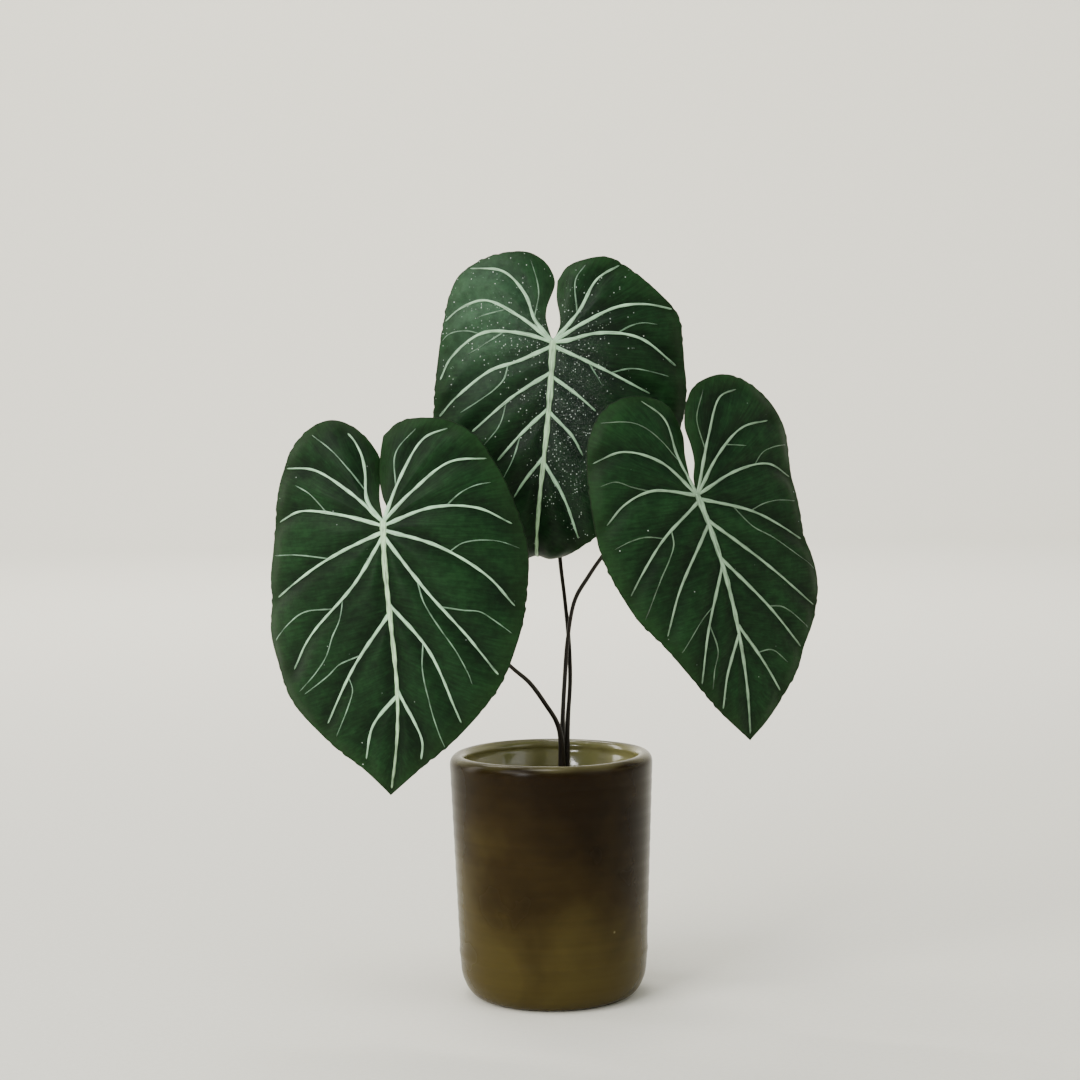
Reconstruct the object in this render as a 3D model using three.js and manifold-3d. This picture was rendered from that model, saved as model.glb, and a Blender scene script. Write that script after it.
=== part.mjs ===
// A small potted philodendron gloriosum: three heart-shaped leaves on wire-thin petioles,
// rising from potting mix in a thick-walled glazed cup.
// Millimetres, +Z up, the leaves face -Y, origin at the centre of the pot's flat foot.

import * as THREE from 'three';
import { mergeVertices } from 'three/addons/utils/BufferGeometryUtils.js';
import Module from 'manifold-3d';

const wasm = await Module();
wasm.setup();

// Clearance left between neighbouring pieces
const GAP = 0.3;

// Pot
const POT_HEIGHT = 66;
const LIP_RADIUS = 27.5;
const WALL = 5.2;
const BELLY_RADIUS = 25.4;
const BEVEL_HEIGHT = 9.5;
const FOOT_RADIUS = 20;
const FLOOR_THICKNESS = 6;
const FLOOR_FILLET = 5;
const POT_SIDES = 40;

// Potting mix
const MIX_BELOW_LIP = 10.5;
const MIX_RELIEF = 0.7;
const MIX_RINGS = 5;
const MIX_SIDES = 24;

// Petioles
const PETIOLE_RADIUS = 0.62;
const PETIOLE_SIDES = 8;
const PETIOLE_DEPTH_IN_MIX = 20;
const PETIOLE_STEP = 5.5;

// Blades
const BLADE_THICKNESS = 0.9;
const BLADE_ROWS = 26;
const LOBE_ROWS = 10;
const BLADE_COLUMNS = 6;
const LAST_ROW_START = 0.88;
const FADE_ROWS = 7;

// Veins: widths at the root and at the end, and the height of the ridge
const MIDRIB = { root: 2.3, end: 1.0, height: 0.6 };
const PRIMARY = { root: 1.5, end: 0.7, height: 0.5 };
const BRANCH = { root: 0.8, end: 0.6, height: 0.4 };
const RIDGE_TOP = 0.5;
const VEIN_STEP = 5;

// Shape of every blade: a shallow valley along the midrib between two gently arched halves
const VALLEY_SLOPE = 0.1;
const VALLEY_REACH = 12;
const VALLEY_SOFTNESS = 1.5;
const HALF_WIDTH = 33;
const SINUS_REACH = 6;
const SINUS_START = 1;
const SINUS_FULL = 15;

// Each leaf lies on a sheet with its own flat coordinates in millimetres:
// the first runs across, the second along the midrib, from the tip (negative) past the
// junction with the petiole at 0,0 to the lobes (positive).
//   at         place of the junction
//   tilt       turn in the leaf's own plane, positive with the tip to the right
//   yaw        turn about the vertical, positive facing right
//   lean       backward lean at the junction; curl gives its change per millimetre
//              above the junction, below it, and below foldAt
//   arch       radius of each half's backward arch; droop is the extra fall at the margin
//   sinusDip   how far the left and right margins beside the sinus dip backward
//   bow        sideways bow of the midrib, at its largest at the fraction bowAt of its length
//   sinus      margin of each half from the junction up to the lobe
//   rim        margin of each half from the top of the sinus round the lobe to the tip
//   veins      primary veins, from the midrib outward
//   branches   finer veins, each from the nearest vein outward
//   petiole    free part of the petiole, from the mix up to behind the blade
const LEAVES = [
  {
    name: 'top',
    at: [2, -8, 177],
    tilt: -3.5,
    yaw: 2,
    lean: 2,
    curl: { above: 0.55, below: 0.16, tip: 6.5 },
    foldAt: -49.8,
    arch: 110,
    droop: 2,
    sinusDip: [2, 2.5],
    bow: -1.8,
    bowAt: 0.73,
    length: 69,
    left: {
      sinus: [[-2, 5.5], [-2, 9], [0, 16]],
      rim: [[-0.5, 18.5], [-2.5, 21.5], [-7, 24], [-12.5, 24], [-20, 22], [-25.5, 18], [-28, 12], [-30, 0],
        [-31, -17], [-31, -28], [-28, -38.5], [-22.5, -47.5], [-14, -57], [-6, -65], [0, -69]],
      veins: [
        [[0, 0], [-5, 5.5], [-8, 12.5], [-14, 18.5], [-23, 19.5]],
        [[0, 0], [-9.5, 6.5], [-18.5, 10.5], [-24.5, 8.5], [-29, 4.5]],
        [[0, 0], [-9.5, 2], [-19, 1.5], [-27, -5.5], [-29.5, -11.5]],
        [[0, -1], [-9, -5.5], [-16.5, -8.5], [-25.5, -16.5], [-29.5, -21.5]],
        [[0, -8], [-10, -15], [-20.5, -25]],
        [[0, -17.5], [-7.5, -25], [-13.5, -32.5]],
        [[0, -30.5], [-6, -37.5], [-8.5, -42]],
      ],
      branches: [
        [[-5, 6], [-4.5, 13], [-7, 22]],
        [[-12, 8], [-20.5, 5.5]],
        [[-19, 1.5], [-28.5, -1]],
        [[-12, 1], [-22.5, -4.5]],
        [[-11, -6.5], [-15, -13.5], [-23.5, -20]],
        [[-12, -17], [-17, -28.5]],
        [[-7.5, -25], [-11.5, -37]],
      ],
    },
    right: {
      sinus: [[1.5, 4], [1.5, 7], [0.5, 12]],
      rim: [[0.5, 17], [3, 21], [7.5, 23], [14, 24], [21.5, 20.5], [28.5, 15.5], [33.5, 10.5], [35.5, 2],
        [37, -12], [36, -22], [32, -32], [27, -41], [20.5, -47.5], [14, -52], [8.5, -57.5], [0, -69]],
      veins: [
        [[0, 0], [6.5, 8.5], [11, 17.5], [17, 22]],
        [[0, 0], [8, 5.5], [17, 10.5], [25, 12], [32, 11.5]],
        [[0, 0], [3.5, 0.5], [12, 3], [23, 2.5], [34, -4.5]],
        [[0, -1], [12.5, -6], [27, -12.5]],
        [[0, -9], [7.5, -14], [12.5, -18]],
        [[0, -18.5], [6.5, -25], [9.5, -30]],
        [[0, -32], [5, -41.5], [9.5, -52.5]],
      ],
      branches: [
        [[6, 8], [5.5, 17], [8, 21.5]],
        [[17, 3], [27.5, 6.5]],
        [[15, -7], [26.5, -6.5], [32.5, -7.5]],
      ],
    },
    petiole: [[4.3, 1.4, 62], [5.2, 2, 74.5], [5.5, 3.5, 85], [5.3, 5.5, 96], [4.4, 9, 107], [3.2, 11.5, 119],
      [2.6, 12, 140], [2.4, 8, 161]],
  },
  {
    name: 'left',
    at: [-42.6, -28, 130.6],
    tilt: -1,
    yaw: -12,
    lean: 3,
    curl: { above: 0.5, below: 0.22, tip: 0.5 },
    foldAt: -55,
    arch: 95,
    droop: 2.5,
    sinusDip: [6, 1.5],
    bow: 3.4,
    bowAt: 0.63,
    length: 73,
    left: {
      sinus: [[-0.5, 2.5], [-1.5, 6.5], [-2, 11.5], [-2, 15.5]],
      rim: [[-3, 18.5], [-5.5, 22], [-10, 25.5], [-15.5, 27], [-21, 25.5], [-26, 21.5], [-29, 16], [-31.5, 0],
        [-33.5, -22], [-33.8, -31], [-31.5, -41.5], [-25.8, -51.3], [-14.8, -60], [-5, -67.5], [0, -73]],
      veins: [
        [[0, 0], [-5, 5.5], [-7, 13.5], [-11, 23.5]],
        [[0, 0], [-8.5, 7], [-19.5, 13.5], [-28.5, 14.5]],
        [[0, -1], [-10.5, 1.5], [-23.5, 2.5], [-30, -0.5]],
        [[0, -2.5], [-11.5, -8], [-20, -13], [-31, -21]],
        [[0, -3.5], [-7.5, -16], [-21, -31], [-26.5, -40.5]],
        [[0, -23.5], [-8.5, -38.5], [-16.5, -54]],
        [[0, -45], [-3.5, -53.5], [-6, -63]],
      ],
      branches: [
        [[-6, 8], [-14, 18], [-20.5, 23]],
        [[-14, -9], [-31.5, -9.5]],
        [[-13, -20], [-26.5, -27.5], [-31.5, -33]],
        [[-9.5, -18], [-15.5, -35], [-24, -45.5]],
        [[-6.5, -34], [-22, -46]],
        [[-9.5, -41], [-12.5, -56.5]],
      ],
    },
    right: {
      sinus: [[1, 3], [-0.5, 6.5], [-2, 12.5], [-2, 18.5]],
      rim: [[-1.5, 23], [3, 26.5], [10, 27.5], [16.5, 27], [23, 23.5], [28, 16.5], [32.5, 7], [35.5, -3],
        [36.4, -13], [35.4, -25.5], [31, -40.5], [25.5, -49], [16.5, -58.5], [7, -66.5], [0, -73]],
      veins: [
        [[0, 0], [5, 13.5], [10, 22], [16, 25]],
        [[0, 0], [7.5, 8], [17, 16], [26, 17.5]],
        [[0, -1], [13, 4], [24.5, 4], [32.5, 0]],
        [[0, -2], [14.5, -6], [26.5, -13.5], [33.5, -22]],
        [[0, -3.5], [11.5, -17.5], [22, -29.5], [29.5, -40]],
        [[0, -21], [12, -33], [20, -52.5]],
        [[0, -43.5], [9.5, -57], [9, -62.5]],
      ],
      branches: [
        [[3, 8.5], [3, 18], [8, 24.5]],
        [[16, 4.5], [27, 11]],
        [[16, -7], [28.5, -4.5], [34, -6.5]],
        [[15, -21.5], [28.5, -25.5], [32.5, -29]],
        [[8, -14], [19, -33], [23, -42]],
        [[9.5, -30], [12, -46], [15.5, -59]],
      ],
    },
    petiole: [[2.9, -2, 62], [2.6, -3, 71], [1.5, -4, 75], [-1.2, -6, 79.7], [-5.4, -9, 86], [-10, -12, 90.5],
      [-21, -16, 101.3], [-31, -18.5, 114]],
  },
  {
    name: 'right',
    at: [38.9, -22, 136.2],
    tilt: 14.7,
    yaw: 20,
    lean: 3,
    curl: { above: 0.5, below: 0.2, tip: 0.6 },
    foldAt: -50,
    arch: 90,
    droop: 2.5,
    sinusDip: [2.5, 1],
    bow: 2.3,
    bowAt: 0.46,
    length: 69,
    left: {
      sinus: [[-0.5, 3], [0, 6.5], [1, 11], [2.5, 15.5]],
      rim: [[2.5, 19.5], [1, 25], [-5, 29], [-12, 30], [-18, 28], [-23, 22.5], [-25.5, 16], [-27.5, 4],
        [-28, -7.5], [-26.3, -17.5], [-23, -28], [-18, -37], [-13.3, -46.5], [-8, -57], [0, -69]],
      veins: [
        [[0, 0], [-1.5, 11], [-1.5, 21.5], [-6.5, 28]],
        [[0, 0], [-7, 11], [-16, 16.5], [-24, 16]],
        [[0, 0], [-12, 4.5], [-19.5, 3], [-25, -1]],
        [[0, -1.5], [-12, -8.5], [-20, -16.5], [-23.5, -21]],
        [[0, -8], [-11, -22.5], [-17, -34]],
        [[0, -19.5], [-6, -35], [-11, -49]],
        [[0, -38.5], [-3.5, -48.5], [-6.5, -57.5]],
      ],
      branches: [
        [[-2, 10], [-10, 22], [-19, 25.5]],
        [[-11, 4.5], [-20, 9.5], [-24, 9.5]],
        [[-11, -7.5], [-20.5, -6.5], [-25, -7.5]],
        [[-9, -7], [-12.5, -14.5], [-21.5, -27]],
        [[-4, -28.5], [-14.5, -39]],
      ],
    },
    right: {
      sinus: [[0.5, 4.5], [2, 8.5], [2.5, 13], [2.5, 18]],
      rim: [[4.5, 23.5], [8.5, 27.5], [14.5, 29], [20, 28.5], [25.5, 25.5], [30.5, 19], [33, 10], [31.5, -0.5],
        [29.5, -15.5], [30, -25.5], [30, -35.5], [24, -45], [17.5, -53.5], [11, -60.5], [0, -69]],
      veins: [
        [[0, 0], [8, 14], [15, 23], [21, 24]],
        [[0, 0], [9, 8.5], [18.5, 13.5], [28, 13.5]],
        [[0, 0], [12.5, 3], [23.5, 2], [30, -3.5]],
        [[0, -1], [15, -9], [28, -20.5]],
        [[0, -7], [14, -22.5], [27, -39]],
        [[0, -17.5], [12.5, -34.5], [20, -48.5]],
        [[0, -36], [7, -47], [11, -58]],
      ],
      branches: [
        [[6, 10.5], [6, 19], [10.5, 26]],
        [[19, 2.5], [30.5, 5.5]],
        [[14, -8], [28, -10]],
        [[10, -5.5], [17.5, -16.5], [28.5, -29]],
        [[12.5, -34], [23, -43.5]],
        [[7, -45], [14, -51]],
      ],
    },
    petiole: [[2.9, -0.2, 62], [3.3, 0, 75], [4, -0.8, 86], [4.9, -1.5, 96.7], [7, -3, 107.7], [10.6, -5, 114],
      [14.1, -8, 119.3], [19, -10.5, 125.5], [28, -14, 133]],
  },
];

const COLOURS = {
  glaze: 0x51462b,
  mix: 0x2c2119,
  blade: 0x24452c,
  vein: 0xc3d2bb,
  petiole: 0x221a12,
};

const plant = new THREE.Group();

function addPiece(name, geometry, colour, roughness) {
  const material = new THREE.MeshStandardMaterial({ color: colour, roughness, metalness: 0 });
  const mesh = new THREE.Mesh(geometry, material);
  mesh.name = name;
  plant.add(mesh);
}

function geometryFrom(positions, triangles) {
  const geometry = new THREE.BufferGeometry();
  geometry.setAttribute('position', new THREE.Float32BufferAttribute(positions, 3));
  geometry.setIndex(triangles);
  return geometry;
}

// Turns a closed mesh into a solid that can be joined and cut
function toSolid(geometry) {
  const bare = geometry.clone();
  bare.deleteAttribute('normal');
  bare.deleteAttribute('uv');
  const merged = mergeVertices(bare, 1e-4);
  return new wasm.Manifold(new wasm.Mesh({
    numProp: 3,
    vertProperties: new Float32Array(merged.attributes.position.array),
    triVerts: new Uint32Array(merged.index.array),
  }));
}

function fromSolid(solid) {
  const mesh = solid.getMesh();
  return geometryFrom(Array.from(mesh.vertProperties), Array.from(mesh.triVerts));
}

// A turned shape: radius and height pairs, from the axis and back to it, spun about Z
function turned(profile, sides) {
  const points = profile.map(([radius, height]) => new THREE.Vector2(radius, height));
  return new THREE.LatheGeometry(points, sides).rotateX(Math.PI / 2);
}

// The pot's outer wall is straight and leans out from the bevel to the lip
function innerRadius(height) {
  const rise = (height - BEVEL_HEIGHT) / (POT_HEIGHT - BEVEL_HEIGHT);
  return BELLY_RADIUS + (LIP_RADIUS - BELLY_RADIUS) * rise - WALL;
}

function makePot() {
  const profile = [[0, 0], [FOOT_RADIUS, 0]];
  const bevelSteps = 5;
  for (let i = 1; i <= bevelSteps; i++) {
    const angle = (i / bevelSteps) * Math.PI / 2;
    const radius = FOOT_RADIUS + (BELLY_RADIUS - FOOT_RADIUS) * Math.sin(angle);
    profile.push([radius, BEVEL_HEIGHT * (1 - Math.cos(angle))]);
  }
  const lipRadius = WALL / 2;
  const lipSteps = 6;
  for (let i = 0; i <= lipSteps; i++) {
    const angle = (i / lipSteps) * Math.PI;
    const radius = LIP_RADIUS - lipRadius + lipRadius * Math.cos(angle);
    profile.push([radius, POT_HEIGHT - lipRadius + lipRadius * Math.sin(angle)]);
  }
  const filletTop = FLOOR_THICKNESS + FLOOR_FILLET;
  const filletSteps = 2;
  for (let i = 0; i <= filletSteps; i++) {
    const angle = (i / filletSteps) * Math.PI / 2;
    const radius = innerRadius(filletTop) - FLOOR_FILLET * (1 - Math.cos(angle));
    profile.push([radius, filletTop - FLOOR_FILLET * Math.sin(angle)]);
  }
  profile.push([0, FLOOR_THICKNESS]);
  return turned(profile, POT_SIDES);
}

// Height of the mix's rough surface above its mean level
function mixRelief(x, y) {
  const coarse = Math.sin(0.55 * x + 1.3) * Math.cos(0.5 * y - 0.4);
  const fine = Math.sin(1.1 * x - 0.9 * y + 2.1) * Math.cos(0.8 * x + 1.2 * y);
  return MIX_RELIEF * (0.6 * coarse + 0.4 * fine);
}

function makeMix() {
  const level = POT_HEIGHT - MIX_BELOW_LIP;
  const bottom = FLOOR_THICKNESS + GAP;
  const filletTop = bottom + FLOOR_FILLET;
  const edge = innerRadius(level) - GAP;
  const profile = [
    [0, bottom],
    [innerRadius(filletTop) - GAP - FLOOR_FILLET, bottom],
    [innerRadius(filletTop) - GAP, filletTop],
  ];
  for (let i = 0; i < MIX_RINGS; i++) {
    profile.push([edge * (1 - i / MIX_RINGS), level]);
  }
  profile.push([0, level]);
  const mix = turned(profile, MIX_SIDES);
  const place = mix.attributes.position;
  for (let i = 0; i < place.count; i++) {
    if (place.getZ(i) > level - GAP) {
      place.setZ(i, level + mixRelief(place.getX(i), place.getY(i)));
    }
  }
  let solid = toSolid(mix);
  for (const leaf of LEAVES) {
    const [x, y] = petioleFoot(leaf);
    const depth = PETIOLE_DEPTH_IN_MIX + GAP;
    const length = depth + MIX_BELOW_LIP;
    const hole = new THREE.CylinderGeometry(PETIOLE_RADIUS + GAP, PETIOLE_RADIUS + GAP, length, PETIOLE_SIDES + 4);
    hole.rotateX(Math.PI / 2);
    hole.translate(x, y, level - depth + length / 2);
    solid = solid.subtract(toSolid(hole));
  }
  return fromSolid(solid);
}

// A smooth curve through flat points
function flatCurve(points) {
  const places = points.map(([across, along]) => new THREE.Vector3(across, along, 0));
  return new THREE.CatmullRomCurve3(places, false, 'centripetal');
}

// Sideways place of the midrib at a distance along the leaf
function midribAcross(leaf, along) {
  const down = THREE.MathUtils.clamp(-along / leaf.length, 0, 1);
  const bend = down ** (Math.log(0.5) / Math.log(leaf.bowAt));
  return leaf.bow * Math.sin(Math.PI * bend);
}

// Forward rise of the blade over its backbone: the valley, the arch, the droop and,
// beside the sinus, the margin's dip
function bladeRise(leaf, across, along, side) {
  const offset = across - midribAcross(leaf, along);
  const reach = Math.abs(offset);
  const valley = VALLEY_SLOPE * (Math.hypot(reach, VALLEY_SOFTNESS) - VALLEY_SOFTNESS);
  const arch = reach * reach / (2 * leaf.arch);
  const droop = leaf.droop * (reach / HALF_WIDTH) ** 4;
  const start = THREE.MathUtils.smoothstep(along, SINUS_START, SINUS_FULL);
  const dip = leaf.sinusDip[side < 0 ? 0 : 1] * start;
  const fall = Math.exp(-Math.max(side * offset, -SINUS_REACH / 2) / SINUS_REACH);
  return valley * Math.exp(-reach / VALLEY_REACH) - arch - droop - dip * fall;
}

// Depth, height and lean after a run along an arc that starts at the given lean
function arcStep(lean, curl, run) {
  const end = lean + curl * run;
  return {
    back: (Math.cos(lean) - Math.cos(end)) / curl,
    up: (Math.sin(end) - Math.sin(lean)) / curl,
    lean: end,
  };
}

// Place in space of a flat point on a blade
function bladePoint(leaf, across, along, side) {
  const rad = Math.PI / 180;
  const arcs = [
    arcStep(leaf.lean * rad, leaf.curl.above * rad, Math.max(along, 0)),
    arcStep(leaf.lean * rad, leaf.curl.below * rad, THREE.MathUtils.clamp(along, leaf.foldAt, 0)),
  ];
  const foldLean = (leaf.lean + leaf.curl.below * leaf.foldAt) * rad;
  arcs.push(arcStep(foldLean, leaf.curl.tip * rad, Math.min(along - leaf.foldAt, 0)));
  const lean = along >= 0 ? arcs[0].lean : along >= leaf.foldAt ? arcs[1].lean : arcs[2].lean;
  const rise = bladeRise(leaf, across, along, side);
  const back = arcs[0].back + arcs[1].back + arcs[2].back;
  const up = arcs[0].up + arcs[1].up + arcs[2].up;
  return new THREE.Vector3(across, back - rise * Math.cos(lean), up + rise * Math.sin(lean))
    .applyAxisAngle(new THREE.Vector3(0, 1, 0), -leaf.tilt * rad)
    .applyAxisAngle(new THREE.Vector3(0, 0, 1), leaf.yaw * rad)
    .add(new THREE.Vector3(...leaf.at));
}

// Place of a flat point lifted off the blade's front face, along the face's normal
function liftedPoint(leaf, across, along, side, lift) {
  const step = 0.05;
  const overAcross = bladePoint(leaf, across + step, along, side)
    .sub(bladePoint(leaf, across - step, along, side));
  const overAlong = bladePoint(leaf, across, along + step, side)
    .sub(bladePoint(leaf, across, along - step, side));
  const normal = overAcross.cross(overAlong).normalize();
  return bladePoint(leaf, across, along, side).addScaledVector(normal, lift);
}

// Flat points of one half of a blade, in rows from the midrib out to the margin.
// The first rows fan out from the junction into the lobe. The first row follows the sinus
// and the last one the end of the midrib.
function halfRows(leaf, side) {
  const half = side < 0 ? leaf.left : leaf.right;
  const rim = flatCurve(half.rim);
  const sinus = flatCurve([[0, 0], ...half.sinus, half.rim[0]]);
  const junction = new THREE.Vector3(0, 0, 0);
  const top = rim.getPointAt(0);
  const rows = [];
  for (let i = 0; i <= BLADE_ROWS; i++) {
    const down = Math.max(0, (i - LOBE_ROWS) / (BLADE_ROWS - LOBE_ROWS));
    const rootAlong = -LAST_ROW_START * leaf.length * down;
    const root = new THREE.Vector3(midribAcross(leaf, rootAlong), rootAlong, 0);
    const end = rim.getPointAt(i / BLADE_ROWS);
    const nearSinus = Math.max(0, 1 - i / FADE_ROWS) ** 2;
    const nearTip = Math.max(0, 1 - (BLADE_ROWS - i) / FADE_ROWS) ** 2;
    const row = [];
    for (let j = 0; j <= BLADE_COLUMNS; j++) {
      const t = j / BLADE_COLUMNS;
      const point = root.clone().lerp(end, t);
      const sinusBend = sinus.getPointAt(t).sub(junction.clone().lerp(top, t));
      const along = -leaf.length * (LAST_ROW_START + (1 - LAST_ROW_START) * t);
      const chord = midribAcross(leaf, -leaf.length * LAST_ROW_START) * (1 - t);
      point.addScaledVector(sinusBend, nearSinus);
      point.x += nearTip * (midribAcross(leaf, along) - chord);
      row.push([point.x, point.y]);
    }
    rows.push(row);
  }
  return rows;
}

// One blade: both halves as a front and a back sheet split alike, closed along the margin
function makeBlade(leaf) {
  const positions = [];
  const triangles = [];
  const width = BLADE_COLUMNS + 1;
  for (const side of [-1, 1]) {
    const rows = halfRows(leaf, side);
    const first = positions.length / 3;
    for (const lift of [0, -BLADE_THICKNESS]) {
      for (const row of rows) {
        for (const [across, along] of row) {
          positions.push(...liftedPoint(leaf, across, along, side, lift).toArray());
        }
      }
    }
    const sheet = rows.length * width;
    const addTriangle = (a, b, c, flip) => {
      triangles.push(first + a, first + (flip ? c : b), first + (flip ? b : c));
    };
    for (let i = 0; i < BLADE_ROWS; i++) {
      for (let j = 0; j < BLADE_COLUMNS; j++) {
        const a = i * width + j;
        for (const [base, flip] of [[0, side < 0], [sheet, side > 0]]) {
          addTriangle(base + a, base + a + width, base + a + width + 1, flip);
          addTriangle(base + a, base + a + width + 1, base + a + 1, flip);
        }
      }
    }
    const margin = [];
    for (let j = 0; j < BLADE_COLUMNS; j++) {
      margin.push(j);
    }
    for (let i = 0; i <= BLADE_ROWS; i++) {
      margin.push(i * width + BLADE_COLUMNS);
    }
    for (let k = 0; k + 1 < margin.length; k++) {
      const a = margin[k];
      const b = margin[k + 1];
      addTriangle(a, b, sheet + b, side < 0);
      addTriangle(a, sheet + b, sheet + a, side < 0);
    }
  }
  return tidied(geometryFrom(positions, triangles));
}

// Merges shared points and drops the triangles that have closed up to a line
function tidied(geometry) {
  const merged = mergeVertices(geometry, 1e-4);
  const index = merged.index.array;
  const kept = [];
  for (let i = 0; i < index.length; i += 3) {
    const [a, b, c] = [index[i], index[i + 1], index[i + 2]];
    if (a !== b && b !== c && c !== a) {
      kept.push(a, b, c);
    }
  }
  merged.setIndex(kept);
  return merged;
}

// One vein: a low ridge with sloping flanks that follows a flat curve just over the blade
function makeRidge(leaf, curve, side, size) {
  const steps = Math.max(2, Math.ceil(curve.getLength() / (size.step || VEIN_STEP)));
  const positions = [];
  const triangles = [];
  for (let i = 0; i <= steps; i++) {
    const t = i / steps;
    const centre = curve.getPointAt(t);
    const tangent = curve.getTangentAt(t);
    const half = (size.root + (size.end - size.root) * t) / 2;
    const top = GAP + size.height * (1 - 0.3 * t);
    const corners = [[-half, GAP], [half, GAP], [half * RIDGE_TOP, top], [-half * RIDGE_TOP, top]];
    for (const [offset, lift] of corners) {
      const across = centre.x - offset * tangent.y;
      const along = centre.y + offset * tangent.x;
      positions.push(...liftedPoint(leaf, across, along, side, lift).toArray());
    }
  }
  for (let i = 0; i < steps; i++) {
    for (let j = 0; j < 4; j++) {
      const a = i * 4 + j;
      const b = i * 4 + (j + 1) % 4;
      triangles.push(a, b, b + 4, a, b + 4, a + 4);
    }
  }
  const last = steps * 4;
  triangles.push(0, 2, 1, 0, 3, 2, last, last + 1, last + 2, last, last + 2, last + 3);
  return toSolid(geometryFrom(positions, triangles));
}

function nearestOn(curves, point) {
  let nearest = null;
  for (const curve of curves) {
    for (const candidate of curve.getSpacedPoints(40)) {
      if (!nearest || candidate.distanceTo(point) < nearest.distanceTo(point)) {
        nearest = candidate;
      }
    }
  }
  return nearest;
}

// All veins of one leaf, grown together: the midrib, the primaries and their branches
function makeVeins(leaf) {
  const spine = [];
  const spineSteps = 8;
  for (let i = 0; i <= spineSteps; i++) {
    const along = 0.8 - (i / spineSteps) * (leaf.length - 1.2);
    spine.push([midribAcross(leaf, along), along]);
  }
  const midribSize = { ...MIDRIB, step: leaf.curl.tip > 2 ? 2.6 : VEIN_STEP };
  const ridges = [makeRidge(leaf, flatCurve(spine), 1, midribSize)];
  for (const side of [-1, 1]) {
    const half = side < 0 ? leaf.left : leaf.right;
    const primaries = half.veins.map((points) => {
      const along = points[0][1];
      return flatCurve([[midribAcross(leaf, along), along], ...points.slice(1)]);
    });
    for (const curve of primaries) {
      ridges.push(makeRidge(leaf, curve, side, PRIMARY));
    }
    for (const points of half.branches) {
      const start = nearestOn(primaries, new THREE.Vector3(...points[0], 0));
      const curve = flatCurve([[start.x, start.y], ...points.slice(1)]);
      ridges.push(makeRidge(leaf, curve, side, BRANCH));
    }
  }
  return fromSolid(wasm.Manifold.union(ridges));
}

function petioleFoot(leaf) {
  const [x, y] = leaf.petiole[0];
  return [x, y, POT_HEIGHT - MIX_BELOW_LIP - PETIOLE_DEPTH_IN_MIX];
}

// A petiole: straight up through the mix, then along its own bend to the back of the blade
function makePetiole(leaf) {
  const [x, y, bottom] = petioleFoot(leaf);
  const behind = BLADE_THICKNESS + GAP;
  const places = [
    new THREE.Vector3(x, y, bottom),
    new THREE.Vector3(x, y, (bottom + leaf.petiole[0][2]) / 2),
    ...leaf.petiole.map((point) => new THREE.Vector3(...point)),
    liftedPoint(leaf, 0, -2, 1, -behind - 4),
    liftedPoint(leaf, 0, -2, 1, -behind),
  ];
  const path = new THREE.CatmullRomCurve3(places, false, 'centripetal');
  const section = [];
  for (let i = 0; i < PETIOLE_SIDES; i++) {
    const angle = (i / PETIOLE_SIDES) * 2 * Math.PI;
    section.push(new THREE.Vector2(PETIOLE_RADIUS * Math.cos(angle), PETIOLE_RADIUS * Math.sin(angle)));
  }
  return new THREE.ExtrudeGeometry(new THREE.Shape(section), {
    steps: Math.round(path.getLength() / PETIOLE_STEP),
    extrudePath: path,
  });
}

addPiece('pot', makePot(), COLOURS.glaze, 0.25);
addPiece('potting_mix', makeMix(), COLOURS.mix, 0.95);
for (const leaf of LEAVES) {
  addPiece(`petiole_${leaf.name}`, makePetiole(leaf), COLOURS.petiole, 0.5);
  addPiece(`leaf_${leaf.name}`, makeBlade(leaf), COLOURS.blade, 0.55);
  addPiece(`veins_${leaf.name}`, makeVeins(leaf), COLOURS.vein, 0.6);
}

export default plant;
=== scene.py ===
"""A small philodendron gloriosum in a thick-walled glazed cup.

The sections follow the plant as it is put together: the studio, the cup, the potting mix,
the three blades, the pale veins on them, and the stalks that carry them. Lengths are in
millimetres and turn to metres where a mesh is made.
"""

import bmesh
import bpy
import numpy as np
from mathutils import Matrix, Vector


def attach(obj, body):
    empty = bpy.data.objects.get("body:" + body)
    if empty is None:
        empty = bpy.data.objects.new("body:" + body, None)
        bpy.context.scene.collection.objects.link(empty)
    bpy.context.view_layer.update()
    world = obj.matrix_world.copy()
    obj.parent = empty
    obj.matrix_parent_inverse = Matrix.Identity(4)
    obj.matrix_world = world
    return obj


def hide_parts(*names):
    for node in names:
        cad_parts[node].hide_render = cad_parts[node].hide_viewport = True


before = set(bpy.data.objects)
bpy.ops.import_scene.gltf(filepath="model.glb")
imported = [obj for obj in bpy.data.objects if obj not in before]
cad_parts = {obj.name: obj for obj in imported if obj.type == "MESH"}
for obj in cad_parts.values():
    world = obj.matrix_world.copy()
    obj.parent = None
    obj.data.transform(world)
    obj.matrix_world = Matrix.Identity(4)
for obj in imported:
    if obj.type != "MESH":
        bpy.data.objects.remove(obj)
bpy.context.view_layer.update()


# ---- Camera ----
# A phone held level with the leaves, 0.6 m in front of the cup and tipped down a
# little. It is turned slightly on its own axis, as the leaning cup in the picture shows.
CAMERA_PLACE = (-0.00219, -0.586, 0.15561)
CAMERA_ANGLE = np.radians(28)
CAMERA_DOWN = np.radians(3.1)
CAMERA_ROLL = np.radians(-0.8)

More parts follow.
